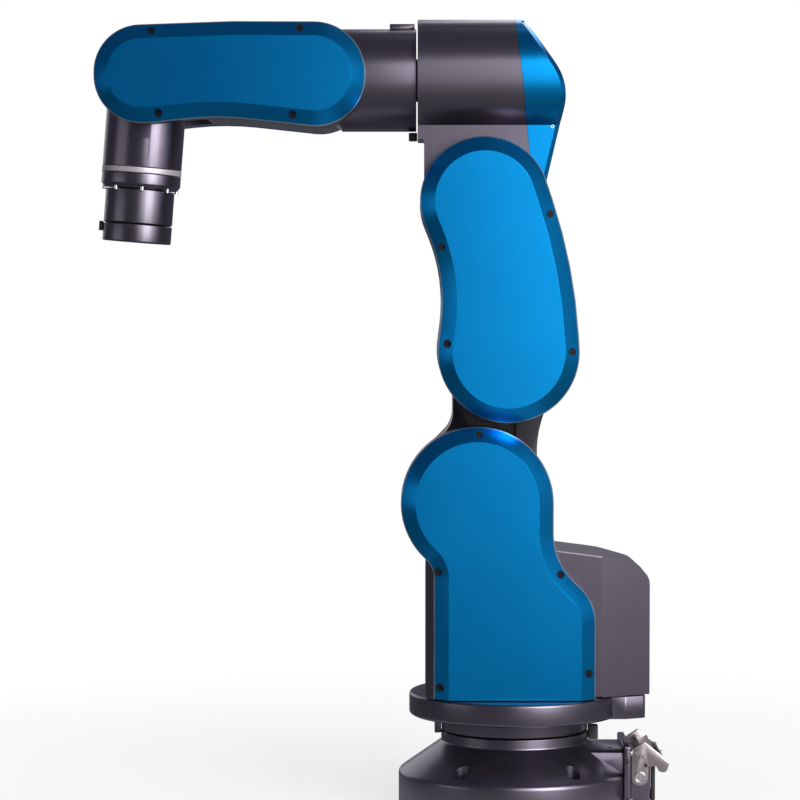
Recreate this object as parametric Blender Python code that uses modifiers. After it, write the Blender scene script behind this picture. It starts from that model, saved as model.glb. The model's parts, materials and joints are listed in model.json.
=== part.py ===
"""Compact six-axis robot arm: base, turntable, shoulder, lower arm, elbow, forearm, wrist and tool flange.

Sizes below are in millimetres.  The frame is +X in the direction of reach, +Y to the arm's left,
+Z up, with the origin on the first axis at the centre of the base's bottom face.
Every link is drawn in its rest position: lower arm upright, forearm level, wrist pointing down.
"""
import math

import bmesh
import bpy
from mathutils import Matrix, Vector

MM = 0.001
GAP = 0.3            # clearance left between pieces that touch
ARC_STEP = 15        # degrees of arc for each facet of an outline
SMALL_R = 9.0        # arcs up to this radius take the coarser step below
SMALL_ARC_STEP = 45
FACETS = 32          # facets round a visible turned piece
HIDDEN_FACETS = 16   # facets round a hidden turned piece

# ---- driving dimensions: joint axes -------------------------------------------------------------
J2 = (33.0, 262.0)               # (x, z) of the shoulder axis
J3 = (27.0, 512.0)               # (x, z) of the elbow axis
J4_Z = 615.5                     # height of the forearm roll axis
J5 = (310.0, J4_Z)               # (x, z) of the wrist bend axis
WRIST_TILT = math.radians(4.5)   # wrist leans forward at rest

# ---- driving dimensions: widths along Y ----------------------------------------------------------
FORK_Y = 33.0        # half the gap between the two cheeks of a fork
TONGUE_Y = 32.4      # half the width of what turns inside a fork
POCKET_Y = 44.0      # floor of a belt pocket
HOUSING_Y = 57.7     # outer face of a cheek
COVER_Y = 69.5       # outer face of a belt cover

# ---- belt covers ---------------------------------------------------------------------------------
COVER_HOLLOW = 14.0  # hollow inside the cover's outline
COVER_WALL = 3.0     # wall in front of the hollow
CHAMFER_WIDTH = 11.5
CHAMFER_DEPTH = 9.5
EDGE_BREAK = 1.0
POCKET_INSET = 8.0   # belt pocket inside the cheek's outline

# ---- base ----------------------------------------------------------------------------------------
BASE_R = 98.5
NECK_R = 62.3
NECK_TOP = 65.0
SKIRT_TOP = 31.0
BASE_EDGE = 5.0
DISC_R = 89.5
DISC_BOTTOM = 79.0
DISC_TOP = 98.0
HOUSING_BOTTOM = DISC_TOP + GAP
COVER_BOTTOM = HOUSING_BOTTOM + 0.7
BOLT_X = 45.5
BOLT_Y = 73.0
BOSS_X = -90.0
BOSS_Y = 35.0
BOSS_TOP = 51.5

# ---- link radii ----------------------------------------------------------------------------------
SHOULDER_R = 63.4    # left shoulder cover round the J2 axis
RIGHT_SHOULDER_R = 56.0  # the right cheek holds no drive, so its head is smaller
TOWER_FRONT = 75.8   # front and rear faces of the shoulder's tower
TOWER_REAR = -65.4
COVER_FRONT = 69.0   # front edge of the shoulder covers
HUB_R = 60.0         # lower arm hub between the shoulder cheeks
NECK_REAR = -17.5    # rear of the neck that joins the hub to the lower arm
ELBOW_END_R = 53.5   # lower arm cover round the J3 axis
MOTOR_END = (7.2, 387.3)
MOTOR_END_R = 58.8   # lower arm cover round the J3 motor
FORK_FLOOR = 434.0   # height of the floor between the lower arm's cheeks
ELBOW_R = 51.0       # elbow barrel round the J4 axis
ELBOW_LOBE_R = 50.0  # elbow lobe round the J3 axis
FOREARM_R = 43.1
WRIST_R = 33.4
FLANGE_R = 29.0
FLANGE_END = 137.0   # distance from the J5 axis to the tool face

# ---- drives --------------------------------------------------------------------------------------
BELT_RATIO = 3
BELT_THICKNESS = 2.0
BELT_SLACK = 0.8     # room between a belt and its pulleys
BELT_Y = (46.5, 54.5)
PULLEY_Y = (46.0, 55.0)
SHAFT_R = 15.0
WRIST_SHAFT_R = 12.0
MOTOR_R = 28.0
MOTOR_SHAFT_R = 5.0
J2_PULLEY_R = 39.0
J3_PULLEY_R = 36.0
J5_PULLEY_R = 27.0
J2_MOTOR = (5.0, 147.0)
J3_MOTOR = (8.2, 387.3)
J5_MOTOR = (171.0, 616.0)
J1_PULLEY_R = 42.0
J1_BELT_RATIO = 4
J1_MOTOR_X = -85.0

# ---- connector -----------------------------------------------------------------------------------
PLUG_Z = 30.0        # height of the lever's pivot
PLUG_X = -104.0
LEVER_PIN_R = 3.3

COLOURS = {
    "casting": ((0.105, 0.09, 0.10), 0.42, 0.6),
    "cover": ((0.006, 0.22, 0.62), 0.32, 0.6),
    "black": ((0.01, 0.01, 0.012), 0.5, 0.0),
    "ring": ((0.5, 0.5, 0.52), 0.35, 0.8),
    "steel": ((0.56, 0.54, 0.53), 0.3, 1.0),
    "belt": ((0.015, 0.015, 0.015), 0.7, 0.0),
    "flange": ((0.13, 0.12, 0.13), 0.35, 0.8),
}

parts = None
cutters = None


# ---- scene helpers -------------------------------------------------------------------------------
def clear_scene():
    """Remove what the start-up file holds and make the two collections."""
    global parts, cutters
    for old in list(bpy.data.objects):
        bpy.data.objects.remove(old, do_unlink=True)
    parts = bpy.data.collections.new("robot_arm")
    cutters = bpy.data.collections.new("cutters")
    bpy.context.scene.collection.children.link(parts)
    bpy.context.scene.collection.children.link(cutters)


def material(name, kind):
    """A Principled material of the piece's own, in one of the arm's finishes."""
    colour, roughness, metallic = COLOURS[kind]
    made = bpy.data.materials.new(name)
    made.use_nodes = True
    shader = made.node_tree.nodes["Principled BSDF"]
    shader.inputs["Base Color"].default_value = (*colour, 1.0)
    shader.inputs["Roughness"].default_value = roughness
    shader.inputs["Metallic"].default_value = metallic
    made.diffuse_color = (*colour, 1.0)
    return made


def add_object(name, mesh, kind=None):
    """Put a mesh in the scene: a part if it has a finish, otherwise a cutter."""
    made = bpy.data.objects.new(name, mesh)
    if kind:
        parts.objects.link(made)
        mesh.materials.append(material(name, kind))
        mesh.shade_smooth()
        mesh.set_sharp_from_angle(angle=math.radians(31))
    else:
        cutters.objects.link(made)
        made.hide_render = True
        made.display_type = "WIRE"
    return made


def finish_mesh(name, work, kind, place=None):
    """Turn a bmesh in millimetres into an object in metres, placed by a matrix."""
    if place:
        work.transform(place)
    work.normal_update()
    bmesh.ops.recalc_face_normals(work, faces=work.faces)
    work.transform(Matrix.Scale(MM, 4))
    mesh = bpy.data.meshes.new(name)
    work.to_mesh(mesh)
    work.free()
    return add_object(name, mesh, kind)


def boolean(piece, other, operation):
    step = piece.modifiers.new(operation.lower(), "BOOLEAN")
    step.operation = operation
    step.object = other
    return piece


def cut(piece, *others):
    for other in others:
        boolean(piece, other, "DIFFERENCE")
    return piece


def join(piece, *others):
    for other in others:
        boolean(piece, other, "UNION")
    return piece


# ---- outlines ------------------------------------------------------------------------------------
def corner_points(before, corner, after):
    """The arc of radius corner[2] that rounds one corner of an outline."""
    here = Vector(corner[:2])
    back = (Vector(before[:2]) - here).normalized()
    ahead = (Vector(after[:2]) - here).normalized()
    turn = math.pi - back.angle(ahead)
    if corner[2] <= 0 or turn < 1e-4:
        return [here]
    tangent = corner[2] * math.tan(turn / 2)
    start = here + back * tangent
    centre = here + (back + ahead).normalized() * (corner[2] / math.cos(turn / 2))
    sign = 1 if back.x * ahead.y - back.y * ahead.x < 0 else -1
    step = ARC_STEP if corner[2] > SMALL_R else SMALL_ARC_STEP
    steps = max(1, math.ceil(math.degrees(turn) / step - 0.01))
    spoke = start - centre
    return [centre + Matrix.Rotation(sign * turn * i / steps, 2) @ spoke for i in range(steps + 1)]


def outline(corners, merge=0.02):
    """Points of a closed outline given as corners (x, z, radius), nearly equal neighbours merged."""
    points = []
    for i, corner in enumerate(corners):
        for point in corner_points(corners[i - 1], corner, corners[(i + 1) % len(corners)]):
            if not points or (point - points[-1]).length >= merge:
                points.append(point)
    if (points[0] - points[-1]).length < merge:
        points.pop()
    return points


def inset(corners, distance):
    """The same corners moved inwards; outlines run anticlockwise."""
    moved = []
    for i, corner in enumerate(corners):
        here = Vector(corner[:2])
        first = (here - Vector(corners[i - 1][:2])).normalized()
        second = (Vector(corners[(i + 1) % len(corners)][:2]) - here).normalized()
        turn = first.x * second.y - first.y * second.x
        inward = Vector((-first.y - second.y, first.x + second.x))
        reach = distance / (1 + first.dot(second))
        point = here + inward * reach
        radius = corner[2] - distance if turn > 0 else corner[2] + distance
        moved.append((point.x, point.y, max(radius, 0.4) if corner[2] else 0))
    return moved


def loft(name, sections, kind=None, place=None):
    """A solid through outlines with the same corners, each at its own Y."""
    work = bmesh.new()
    rings = []
    for corners, y in sections:
        rings.append([work.verts.new((p.x, y, p.y)) for p in outline(corners, merge=0)])
    for low, high in zip(rings, rings[1:]):
        for i in range(len(low)):
            work.faces.new((low[i - 1], low[i], high[i], high[i - 1]))
    work.faces.new(rings[0])
    work.faces.new(rings[-1])
    bmesh.ops.remove_doubles(work, verts=work.verts, dist=0.02)
    return finish_mesh(name, work, kind, place)


def plate(name, corners, y_low, y_high, kind=None, place=None):
    """A flat piece: an outline in the XZ plane with thickness along Y, from a filled 2D curve."""
    curve = bpy.data.curves.new(name, "CURVE")
    curve.dimensions = "2D"
    curve.fill_mode = "BOTH"
    curve.extrude = (y_high - y_low) / 2
    points = outline(corners)
    spline = curve.splines.new("POLY")
    spline.points.add(len(points) - 1)
    for target, point in zip(spline.points, points):
        target.co = (point.x, point.y, 0, 1)
    spline.use_cyclic_u = True
    holder = bpy.data.objects.new(name + "_curve", curve)
    cutters.objects.link(holder)
    bpy.context.view_layer.update()
    flat = bpy.data.meshes.new_from_object(holder.evaluated_get(bpy.context.evaluated_depsgraph_get()))
    bpy.data.objects.remove(holder, do_unlink=True)
    work = bmesh.new()
    work.from_mesh(flat)
    bpy.data.meshes.remove(flat)
    bmesh.ops.remove_doubles(work, verts=work.verts, dist=0.001)
    upright = Matrix.Translation((0, (y_low + y_high) / 2, 0)) @ Matrix.Rotation(math.pi / 2, 4, "X")
    work.transform(upright)
    return finish_mesh(name, work, kind, place)


def plan_plate(name, corners, z_low, z_high, kind=None):
    """A flat piece with its outline in the XY plane and its thickness along Z."""
    swap = Matrix(((1, 0, 0, 0), (0, 0, 1, 0), (0, 1, 0, 0), (0, 0, 0, 1)))
    return plate(name, corners, z_low, z_high, kind, swap)


# ---- round pieces --------------------------------------------------------------------------------
AXIS = {
    "x": Matrix.Rotation(math.pi / 2, 4, "Y"),
    "y": Matrix.Rotation(-math.pi / 2, 4, "X"),
    "z": Matrix.Identity(4),
}


def rod(name, radius, start, length, axis="z", kind=None, facets=HIDDEN_FACETS, place=None):
    """A plain cylinder from a start point along an axis."""
    work = bmesh.new()
    bmesh.ops.create_cone(work, cap_ends=True, segments=facets, radius1=radius, radius2=radius,
                          depth=length, matrix=Matrix.Translation((0, 0, length / 2)))
    spot = Matrix.Translation(start) @ AXIS[axis]
    return finish_mesh(name, work, kind, place @ spot if place else spot)


def turned(name, profile, start, axis="z", kind=None, facets=FACETS, place=None):
    """A turned solid: a closed loop of (radius, height) points, or one that starts and ends at 0."""
    mesh = bpy.data.meshes.new(name + "_profile")
    closed = profile[0][0] > 0
    edges = [(i, i + 1) for i in range(len(profile) - 1)]
    if closed:
        edges.append((len(profile) - 1, 0))
    mesh.from_pydata([(r, 0, h) for r, h in profile], edges, [])
    holder = bpy.data.objects.new(name + "_profile", mesh)
    cutters.objects.link(holder)
    screw = holder.modifiers.new("turn", "SCREW")
    screw.steps = facets
    screw.render_steps = facets
    screw.use_merge_vertices = True
    screw.merge_threshold = 0.0001
    bpy.context.view_layer.update()
    solid = bpy.data.meshes.new_from_object(holder.evaluated_get(bpy.context.evaluated_depsgraph_get()))
    bpy.data.objects.remove(holder, do_unlink=True)
    work = bmesh.new()
    work.from_mesh(solid)
    bpy.data.meshes.remove(solid)
    bmesh.ops.remove_doubles(work, verts=work.verts, dist=0.001)
    spot = Matrix.Translation(start) @ AXIS[axis]
    return finish_mesh(name, work, kind, place @ spot if place else spot)


def running_bore(shaft_radius):
    """Radius of a faceted bore whose flats still clear a shaft that turns in it."""
    return (shaft_radius + GAP) / math.cos(math.pi / HIDDEN_FACETS)


def ring(name, inner, outer, start, length, axis="z", kind=None, facets=HIDDEN_FACETS, place=None):
    """A plain ring, such as a bearing."""
    profile = [(outer, length), (outer, 0), (inner, 0), (inner, length)]
    return turned(name, profile, start, axis, kind, facets, place)


def box(name, low, high, kind=None, place=None):
    work = bmesh.new()
    bmesh.ops.create_cube(work, size=1)
    size = Vector(high) - Vector(low)
    work.transform(Matrix.Translation((Vector(low) + Vector(high)) / 2) @ Matrix.Diagonal((*size, 1)))
    return finish_mesh(name, work, kind, place)


# ---- families of pieces --------------------------------------------------------------------------
def side_name(side):
    return "left" if side > 0 else "right"


def belt_cover(name, corners, side, kind="cover"):
    """A hollow cover with a wide shallow chamfer, seated on a cheek's outer face."""
    seat = HOUSING_Y + GAP
    crown = COVER_Y - CHAMFER_DEPTH
    sections = [
        (corners, side * seat),
        (corners, side * (crown - EDGE_BREAK)),
        (inset(corners, EDGE_BREAK), side * crown),
        (inset(corners, EDGE_BREAK + CHAMFER_WIDTH), side * COVER_Y),
    ]
    cover = loft(name, sections, kind)
    hollow_y = sorted((side * (seat - 2), side * (COVER_Y - COVER_WALL)))
    hollow = plate(name + "_hollow", inset(corners, COVER_HOLLOW), *hollow_y)
    return cut(cover, hollow)


def pulley(name, centre, radius, bore, kind="steel"):
    """A belt pulley on a Y axis."""
    width = PULLEY_Y[1] - PULLEY_Y[0]
    facets = HIDDEN_FACETS if radius < 20 else FACETS
    return ring(name, bore, radius, (centre[0], PULLEY_Y[0], centre[1]), width, "y", kind, facets)


def belt_corners(first, first_r, second, second_r):
    """Corners of the loop round two circles, anticlockwise, first circle to second."""
    a = Vector(first)
    b = Vector(second)
    along = (b - a).normalized()
    lean = math.asin((first_r - second_r) / (b - a).length)
    left = Matrix.Rotation(math.pi / 2 - lean, 2) @ along
    right = Matrix.Rotation(-math.pi / 2 + lean, 2) @ along
    corners = []
    for centre, radius, outward in ((a, first_r, -along), (b, second_r, along)):
        tips = []
        for side in (left, right):
            edge = centre + side * radius
            cap = centre + outward * radius
            run = Matrix.Rotation(math.pi / 2, 2) @ side
            tips.append(edge + run * ((cap - edge).dot(outward) / run.dot(outward)))
        corners.append([(tip.x, tip.y, radius) for tip in tips])
    return [corners[0][0], corners[0][1], corners[1][1], corners[1][0]]


def belt(name, first, first_r, second, second_r):
    """A closed belt round two pulleys on Y axes."""
    back = BELT_SLACK + BELT_THICKNESS
    inner = belt_corners(first, first_r + BELT_SLACK, second, second_r + BELT_SLACK)
    outer = belt_corners(first, first_r + back, second, second_r + back)
    loop = plate(name, outer, *BELT_Y, kind="belt")
    return cut(loop, plate(name + "_inside", inner, BELT_Y[0] - 2, BELT_Y[1] + 2))


def belt_drive(name, joint, joint_r, motor, bore):
    """Driven pulley, belt and motor pulley; the motor pulley is BELT_RATIO times smaller."""
    small = joint_r / BELT_RATIO
    pulley(name + "_driven_pulley", joint, joint_r, bore)
    pulley(name + "_motor_pulley", motor, small, running_bore(MOTOR_SHAFT_R))
    belt(name + "_belt", joint, joint_r, motor, small)


def motor(name, centre, radius, y_low, y_high, shaft_to):
    """A motor on a Y axis: body, register and output shaft in one turned solid."""
    body = y_high - y_low
    reach = shaft_to - y_low
    profile = [(0, reach), (MOTOR_SHAFT_R, reach), (MOTOR_SHAFT_R, body + 2), (14, body + 2), (14, body),
               (radius, body), (radius, 6), (radius - 3, 6), (radius - 3, 0), (0, 0)]
    turned(name, profile, (centre[0], y_low, centre[1]), "y", "black", HIDDEN_FACETS)


# ---- outlines of the links -----------------------------------------------------------------------
def shoulder_outline(r, front_x, low_z, blend):
    """Side view of the shoulder: a circle of radius r round J2 blended into an upright tower."""
    x, z = J2
    slope = x - z + r * math.sqrt(2)          # 45 degree line below the front of the circle
    rear_slope = -244.6                       # 45 degree line behind the circle
    return [
        (front_x, low_z, 1), (front_x, front_x - slope, blend), (x + r, x + r - slope, r), (x + r, z + r, r),
        (x - r, z + r, r), (x - r, x - r - rear_slope, 55), (TOWER_REAR, TOWER_REAR - rear_slope, 40),
        (TOWER_REAR, low_z, 1),
    ]


def lower_arm_outline():
    """Side view of the lower arm: a circle round J3 and one round its motor, waisted at the front."""
    x, z = J3
    r = ELBOW_END_R
    mx, mz = MOTOR_END
    mr = MOTOR_END_R
    front = tangent_line((x, z), r, -22.5)
    waist = tangent_line((mx, mz), mr, 7.5)
    rear = tangent_line((x, z), r, 161.5)
    rear_low = tangent_line((mx, mz), mr, 176.5)
    level_top = ((x, z + r), (1, 0))
    level_low = ((mx, mz - mr), (1, 0))
    face = ((x + r, z), (0, 1))
    spots = [
        (crossing(level_low, waist), mr), (crossing(waist, front), 150), (crossing(front, face), r),
        (crossing(face, level_top), r), (crossing(level_top, rear), r), (crossing(rear, rear_low), 440),
        (crossing(rear_low, level_low), mr),
    ]
    return [(spot[0], spot[1], radius) for spot, radius in spots]


def tangent_line(centre, radius, degrees):
    """The line that touches a circle at an angle, as a point and a direction."""
    turn = math.radians(degrees)
    touch = (centre[0] + radius * math.cos(turn), centre[1] + radius * math.sin(turn))
    return touch, (-math.sin(turn), math.cos(turn))


def crossing(first, second):
    (ax, ay), (adx, ady) = first
    (bx, by), (bdx, bdy) = second
    reach = ((bx - ax) * bdy - (by - ay) * bdx) / (adx * bdy - ady * bdx)
    return ax + adx * reach, ay + ady * reach


def forearm_outline():
    """Side view of the forearm's belt case."""
    return [
        (125.6, 568.8, 41), (248, 582.2, 250), (302, 576.3, 90), (349.9, 576.3, 39.2),
        (349.9, 656, 39.2), (235, 660, 0), (125.6, 659.6, 42.5),
    ]


# ---- base ----------------------------------------------------------------------------------------
def make_base():
    """Base casting with its cable boss, bolt holes, column, stop, bottom plate and J1 parts."""
    edge = BASE_EDGE
    fillet = [(BASE_R - edge + edge * math.sin(a), edge - edge * math.cos(a))
              for a in (math.radians(60), math.radians(30), 0.0)]
    skirt = [(BASE_R - edge + edge * math.cos(a), SKIRT_TOP - edge + edge * math.sin(a))
             for a in (math.radians(40), math.radians(15), 0.0)]
    profile = [(NECK_R, NECK_TOP), (NECK_R, 56.5)] + skirt + [(BASE_R, edge)] + fillet
    profile += [(72, 0), (72, 26), (50, 42), (50, NECK_TOP - 6), (31, NECK_TOP - 6), (31, NECK_TOP)]
    base = turned("base_casting", profile, (0, 0, 0), kind="casting", facets=40)
    boss = plate("boss", [(BOSS_X, 2, 0), (-78, 2, 0), (-78, 28, 0), (-57, 46, 0), (-57, BOSS_TOP, 0),
                          (BOSS_X, BOSS_TOP, 0)], -BOSS_Y, BOSS_Y)
    round_off = boss.modifiers.new("soft", "BEVEL")
    round_off.width = 3 * MM
    round_off.segments = 2
    flat = box("boss_flat", (-130, -46, -5), (BOSS_X + 0.01, 46, 80))
    cable_way = box("cable_way", (-95, -24, 8), (-60, 24, 44))
    join(base, boss)
    cut(base, flat, cable_way)
    for sx in (-1, 1):
        for sy in (-1, 1):
            spot = (sx * BOLT_X, sy * BOLT_Y)
            cut(base, rod("bolt_hole", 4.5, (*spot, -5), 60, facets=16))
            cut(base, rod("bolt_seat", 6.4, (*spot, 22), 40, facets=16))

    rod("base_bottom_plate", 72 - GAP, (0, 0, 0), 4, kind="casting", facets=40)
    foot = NECK_TOP - 6.4
    column = [(J1_PULLEY_R, 94), (J1_PULLEY_R, 84), (30, 84), (30, foot), (48, foot), (48, 47), (22, 47),
              (22, 94)]
    turned("base_column", column, (0, 0, 0), kind="flange", facets=HIDDEN_FACETS)
    box("j1_stop_block", (-71, -5, 57), (-NECK_R - GAP, 5, 69), "black")


def make_connector():
    """Rectangular cable connector on the base's boss, with its bail lever."""
    x = BOSS_X - GAP
    flange = box("connector_housing", (x - 6, -41, 4), (x, 41, 56.5), "casting")
    shell = box("shell", (x - 23, -34, 8), (x - 5, 34, 47))
    inside = box("shell_inside", (x - 40, -31, 11), (x - 3, 31, 44))
    join(flange, shell)
    cut(flange, inside)
    for side in (-1, 1):
        cut(flange, rod("pivot_hole", LEVER_PIN_R + GAP, (PLUG_X, side * 34 - 8, PLUG_Z), 16, "y", facets=12))
    box("connector_insert", (x - 18, -30.5, 11.5), (x - 3.4, 30.5, 43.5), "black")
    seal = box("connector_seal", (x - 27, -33, 9), (x - 23.3, 33, 46), "black")
    cut(seal, box("seal_hole", (x - 40, -30, 12), (x - 20, 30, 43)))
    for side in (-1, 1):
        pin = [(0, 8.5), (5, 8.5), (5, 7), (LEVER_PIN_R, 7), (LEVER_PIN_R, 0), (0, 0)]
        turn = Matrix.Identity(4) if side > 0 else Matrix.Scale(-1, 4, (0, 1, 0))
        spot = Matrix.Translation((PLUG_X, side * 31.2, PLUG_Z)) @ turn @ AXIS["y"]
        turned("lever_pin_" + side_name(side), pin, (0, 0, 0), kind="steel", facets=12, place=spot)
    arm = [(PLUG_X + 7, 53, 2), (PLUG_X - 4, 60, 2), (PLUG_X - 19, 48, 3), (PLUG_X - 25, 42, 3),
           (PLUG_X - 22, 33.5, 3.4), (PLUG_X - 16, 35, 2), (PLUG_X - 14, 39, 1), (PLUG_X - 7.4, 39, 1),
           (PLUG_X - 7, PLUG_Z - 7.2, 6.6), (PLUG_X + 7, PLUG_Z - 7.2, 6.6)]
    lever = plate("locking_lever", arm, 34.6, 37.6, "steel")
    far = plate("lever_far_arm", arm, -37.6, -34.6)
    bridge = box("lever_bridge", (PLUG_X - 12, -36, 51.5), (PLUG_X - 1, 36, 54.5))
    grip = plate("lever_grip", [(PLUG_X - 24, 36, 1), (PLUG_X - 20, 36, 1), (PLUG_X - 17, 48, 1),
                                (PLUG_X - 19, 49, 1)], -36, 36)
    join(lever, far, bridge, grip)
    for side in (-1, 1):
        cut(lever, rod("lever_hole", running_bore(LEVER_PIN_R), (PLUG_X, side * 36 - 6, PLUG_Z), 12, "y"))


# ---- turntable and shoulder ----------------------------------------------------------------------
def make_turntable():
    """The turning disc with its hub, rear lug, stop dog and J1 drive."""
    hub_low = NECK_TOP + 1
    profile = [(DISC_R - 4, DISC_TOP), (DISC_R - 1.2, DISC_TOP - 1.2), (DISC_R, DISC_TOP - 4),
               (DISC_R, DISC_BOTTOM + 3), (DISC_R - 3, DISC_BOTTOM), (62, DISC_BOTTOM), (62, hub_low),
               (45.3, hub_low), (45.3, 80), (46, 81), (46, DISC_TOP)]
    disc = turned("turntable", profile, (0, 0, 0), kind="casting", facets=40)
    lug = plan_plate("lug", [(-60, -38, 1), (-60, 38, 1), (-92, 38, 4), (-109, 30, 4),
                             (-109, -30, 4), (-92, -38, 4)][::-1], DISC_BOTTOM, DISC_TOP)
    trench = plan_plate("trench", belt_corners((0, 0), 50, (J1_MOTOR_X, 0), 17), 84, 110)
    join(disc, lug)
    cut(disc, trench)
    ring("j1_bearing", running_bore(30), 45, (0, 0, hub_low + 0.5), 12, kind="steel")
    box("j1_stop_dog", (62 + GAP, -5, 62.5), (68, 5, DISC_BOTTOM - GAP), "casting")
    small = J1_PULLEY_R / J1_BELT_RATIO
    back = BELT_SLACK + BELT_THICKNESS
    inner = belt_corners((0, 0), J1_PULLEY_R + BELT_SLACK, (J1_MOTOR_X, 0), small + BELT_SLACK)
    outer = belt_corners((0, 0), J1_PULLEY_R + back, (J1_MOTOR_X, 0), small + back)
    loop = plan_plate("j1_belt", outer, 85, 93, "belt")
    cut(loop, plan_plate("j1_belt_inside", inner, 80, 99))
    ring("j1_motor_pulley", running_bore(4), small, (J1_MOTOR_X, 0, 84.6), 9.4, kind="steel")
    shaft = [(0, 78), (17, 78), (17, 2), (4, 2), (4, -11), (0, -11)]
    turned("j1_motor", shaft, (J1_MOTOR_X, 0, 98.5), kind="black", facets=HIDDEN_FACETS)


def make_shoulder():
    """Shoulder housing, its covers, the rear motor box, the J2 motor and bearings."""
    x, z = J2
    shape = shoulder_outline(SHOULDER_R, TOWER_FRONT, HOUSING_BOTTOM, 2)
    housing = plate("shoulder_housing", shape, -FORK_Y, HOUSING_Y, "casting")
    small_shape = shoulder_outline(RIGHT_SHOULDER_R, TOWER_FRONT, HOUSING_BOTTOM, 2)
    join(housing, plate("right_cheek", small_shape, -HOUSING_Y, -FORK_Y + 1))
    slot = box("shoulder_slot", (-120, -FORK_Y, z), (150, FORK_Y, 400))
    slot_floor = rod("shoulder_slot_floor", HUB_R + 7, (x, -FORK_Y, z), 2 * FORK_Y, "y", facets=FACETS)
    motor_bay = box("j2_motor_bay", (-48, -42, 106), (60, 50, 186))
    cut(housing, slot, slot_floor, motor_bay)
    for side, radius in ((-1, RIGHT_SHOULDER_R), (1, SHOULDER_R)):
        low, high = sorted((side * POCKET_Y, side * (HOUSING_Y + 5)))
        name = side_name(side)
        cover_shape = shoulder_outline(radius, COVER_FRONT, COVER_BOTTOM, 20)
        cut(housing, plate("belt_pocket_" + name, inset(cover_shape, POCKET_INSET), low, high))
        bearing_y = min(side * (FORK_Y + 0.4), side * (POCKET_Y - 0.4))
        cut(housing, rod("bearing_bore_" + name, 24 + GAP, (x, bearing_y - 3, z), 15, "y"))
        ring("shoulder_bearing_" + name, running_bore(SHAFT_R), 24, (x, bearing_y, z), 8.7, "y", "steel")
        tall = inset_bottom(cover_shape)
        cover = belt_cover("shoulder_cover_" + name, tall, side)
        cut(cover, box("cover_foot_" + name, (-120, -90, 40), (150, 90, COVER_BOTTOM)))
    motor("j2_motor", J2_MOTOR, MOTOR_R, -38, 36, 55)

    case = plate("rear_box", [(-112.9, 98.7, 2), (-20, 98.7, 0), (-20, 223.6, 0), (-72, 217, 120),
                              (-98.5, 210.3, 10), (-112.9, 197.5, 14)], -48.5, 48.5, "casting")
    for side in (-1, 1):
        wedge = plan_plate("rear_taper", [(-71, side * 48.5, 0), (-150, side * 6.5, 0),
                                          (-150, side * 90, 0), (-60, side * 90, 0),
                                          (-60, side * 48.5, 0)][::side], 60, 260)
        cut(case, wedge)
    clear = plate("rear_box_front", inset(shape, -GAP), -90, 90)
    bay = box("j1_motor_bay", (-106, -22, 90), (-67, 22, 190))
    upper_front = box("rear_box_step", (-30, -60, 200), (0, 60, 240))
    cut(case, clear, bay, upper_front)


def inset_bottom(corners):
    """Carry an outline's two bottom corners down, so that its foot can be cut off square."""
    low = min(corner[1] for corner in corners)
    return [(cx, cz - 30 if cz < low + 1 else cz, r) for cx, cz, r in corners]


# ---- lower arm -----------------------------------------------------------------------------------
def make_lower_arm():
    """Lower arm casting with its hub and fork, covers, J3 motor, shaft and bearings."""
    x, z = J2
    shape = lower_arm_outline()
    arm = plate("lower_arm_casting", inset(shape, 0.4), -HOUSING_Y, HOUSING_Y, "casting")
    front = x + HUB_R - 1
    diagonal = x + z + HUB_R * math.sqrt(2) - 0.4
    neck = plate("neck", [(NECK_REAR, z - 4, 0), (front, z - 4, 0),
                          (front, diagonal - front, HUB_R - 1), (53, diagonal - 53, 25),
                          (53, 362, 0), (-32, 362, 0), (NECK_REAR, 318, 90)], -TONGUE_Y, TONGUE_Y)
    join(neck, rod("hub", HUB_R, (x, -TONGUE_Y, z), 2 * TONGUE_Y, "y", facets=FACETS))
    join(arm, neck)
    cut(arm, rod("hub_bore", SHAFT_R + GAP, (x, -50, z), 100, "y"))
    cut(arm, box("fork_slot", (-90, -FORK_Y, FORK_FLOOR), (140, FORK_Y, 600)))
    cut(arm, box("neck_recess", (0, 22, 296), (21, 40, 343)))
    pocket = inset(shape, POCKET_INSET)
    for side in (-1, 1):
        name = side_name(side)
        low, high = sorted((side * POCKET_Y, side * (HOUSING_Y + 5)))
        cut(arm, plate("arm_pocket_" + name, pocket, low, high))
        bearing_y = min(side * (FORK_Y + 0.4), side * (POCKET_Y - 0.4))
        cut(arm, rod("elbow_bore_" + name, 24 + GAP, (J3[0], bearing_y - 3, J3[1]), 15, "y"))
        ring("elbow_bearing_" + name, running_bore(SHAFT_R), 24, (J3[0], bearing_y, J3[1]), 8.7, "y", "steel")
        belt_cover("lower_arm_cover_" + name, shape, side)
    cut(arm, rod("j3_motor_bay", MOTOR_R + 2, (J3_MOTOR[0], -40, J3_MOTOR[1]), 90, "y"))
    motor("j3_motor", J3_MOTOR, MOTOR_R, -38, 36, 55)
    axle("shoulder_shaft", J2, SHAFT_R)


def axle(name, centre, radius):
    rod(name, radius, (centre[0], -50, centre[1]), 105.5, "y", "steel")


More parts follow.
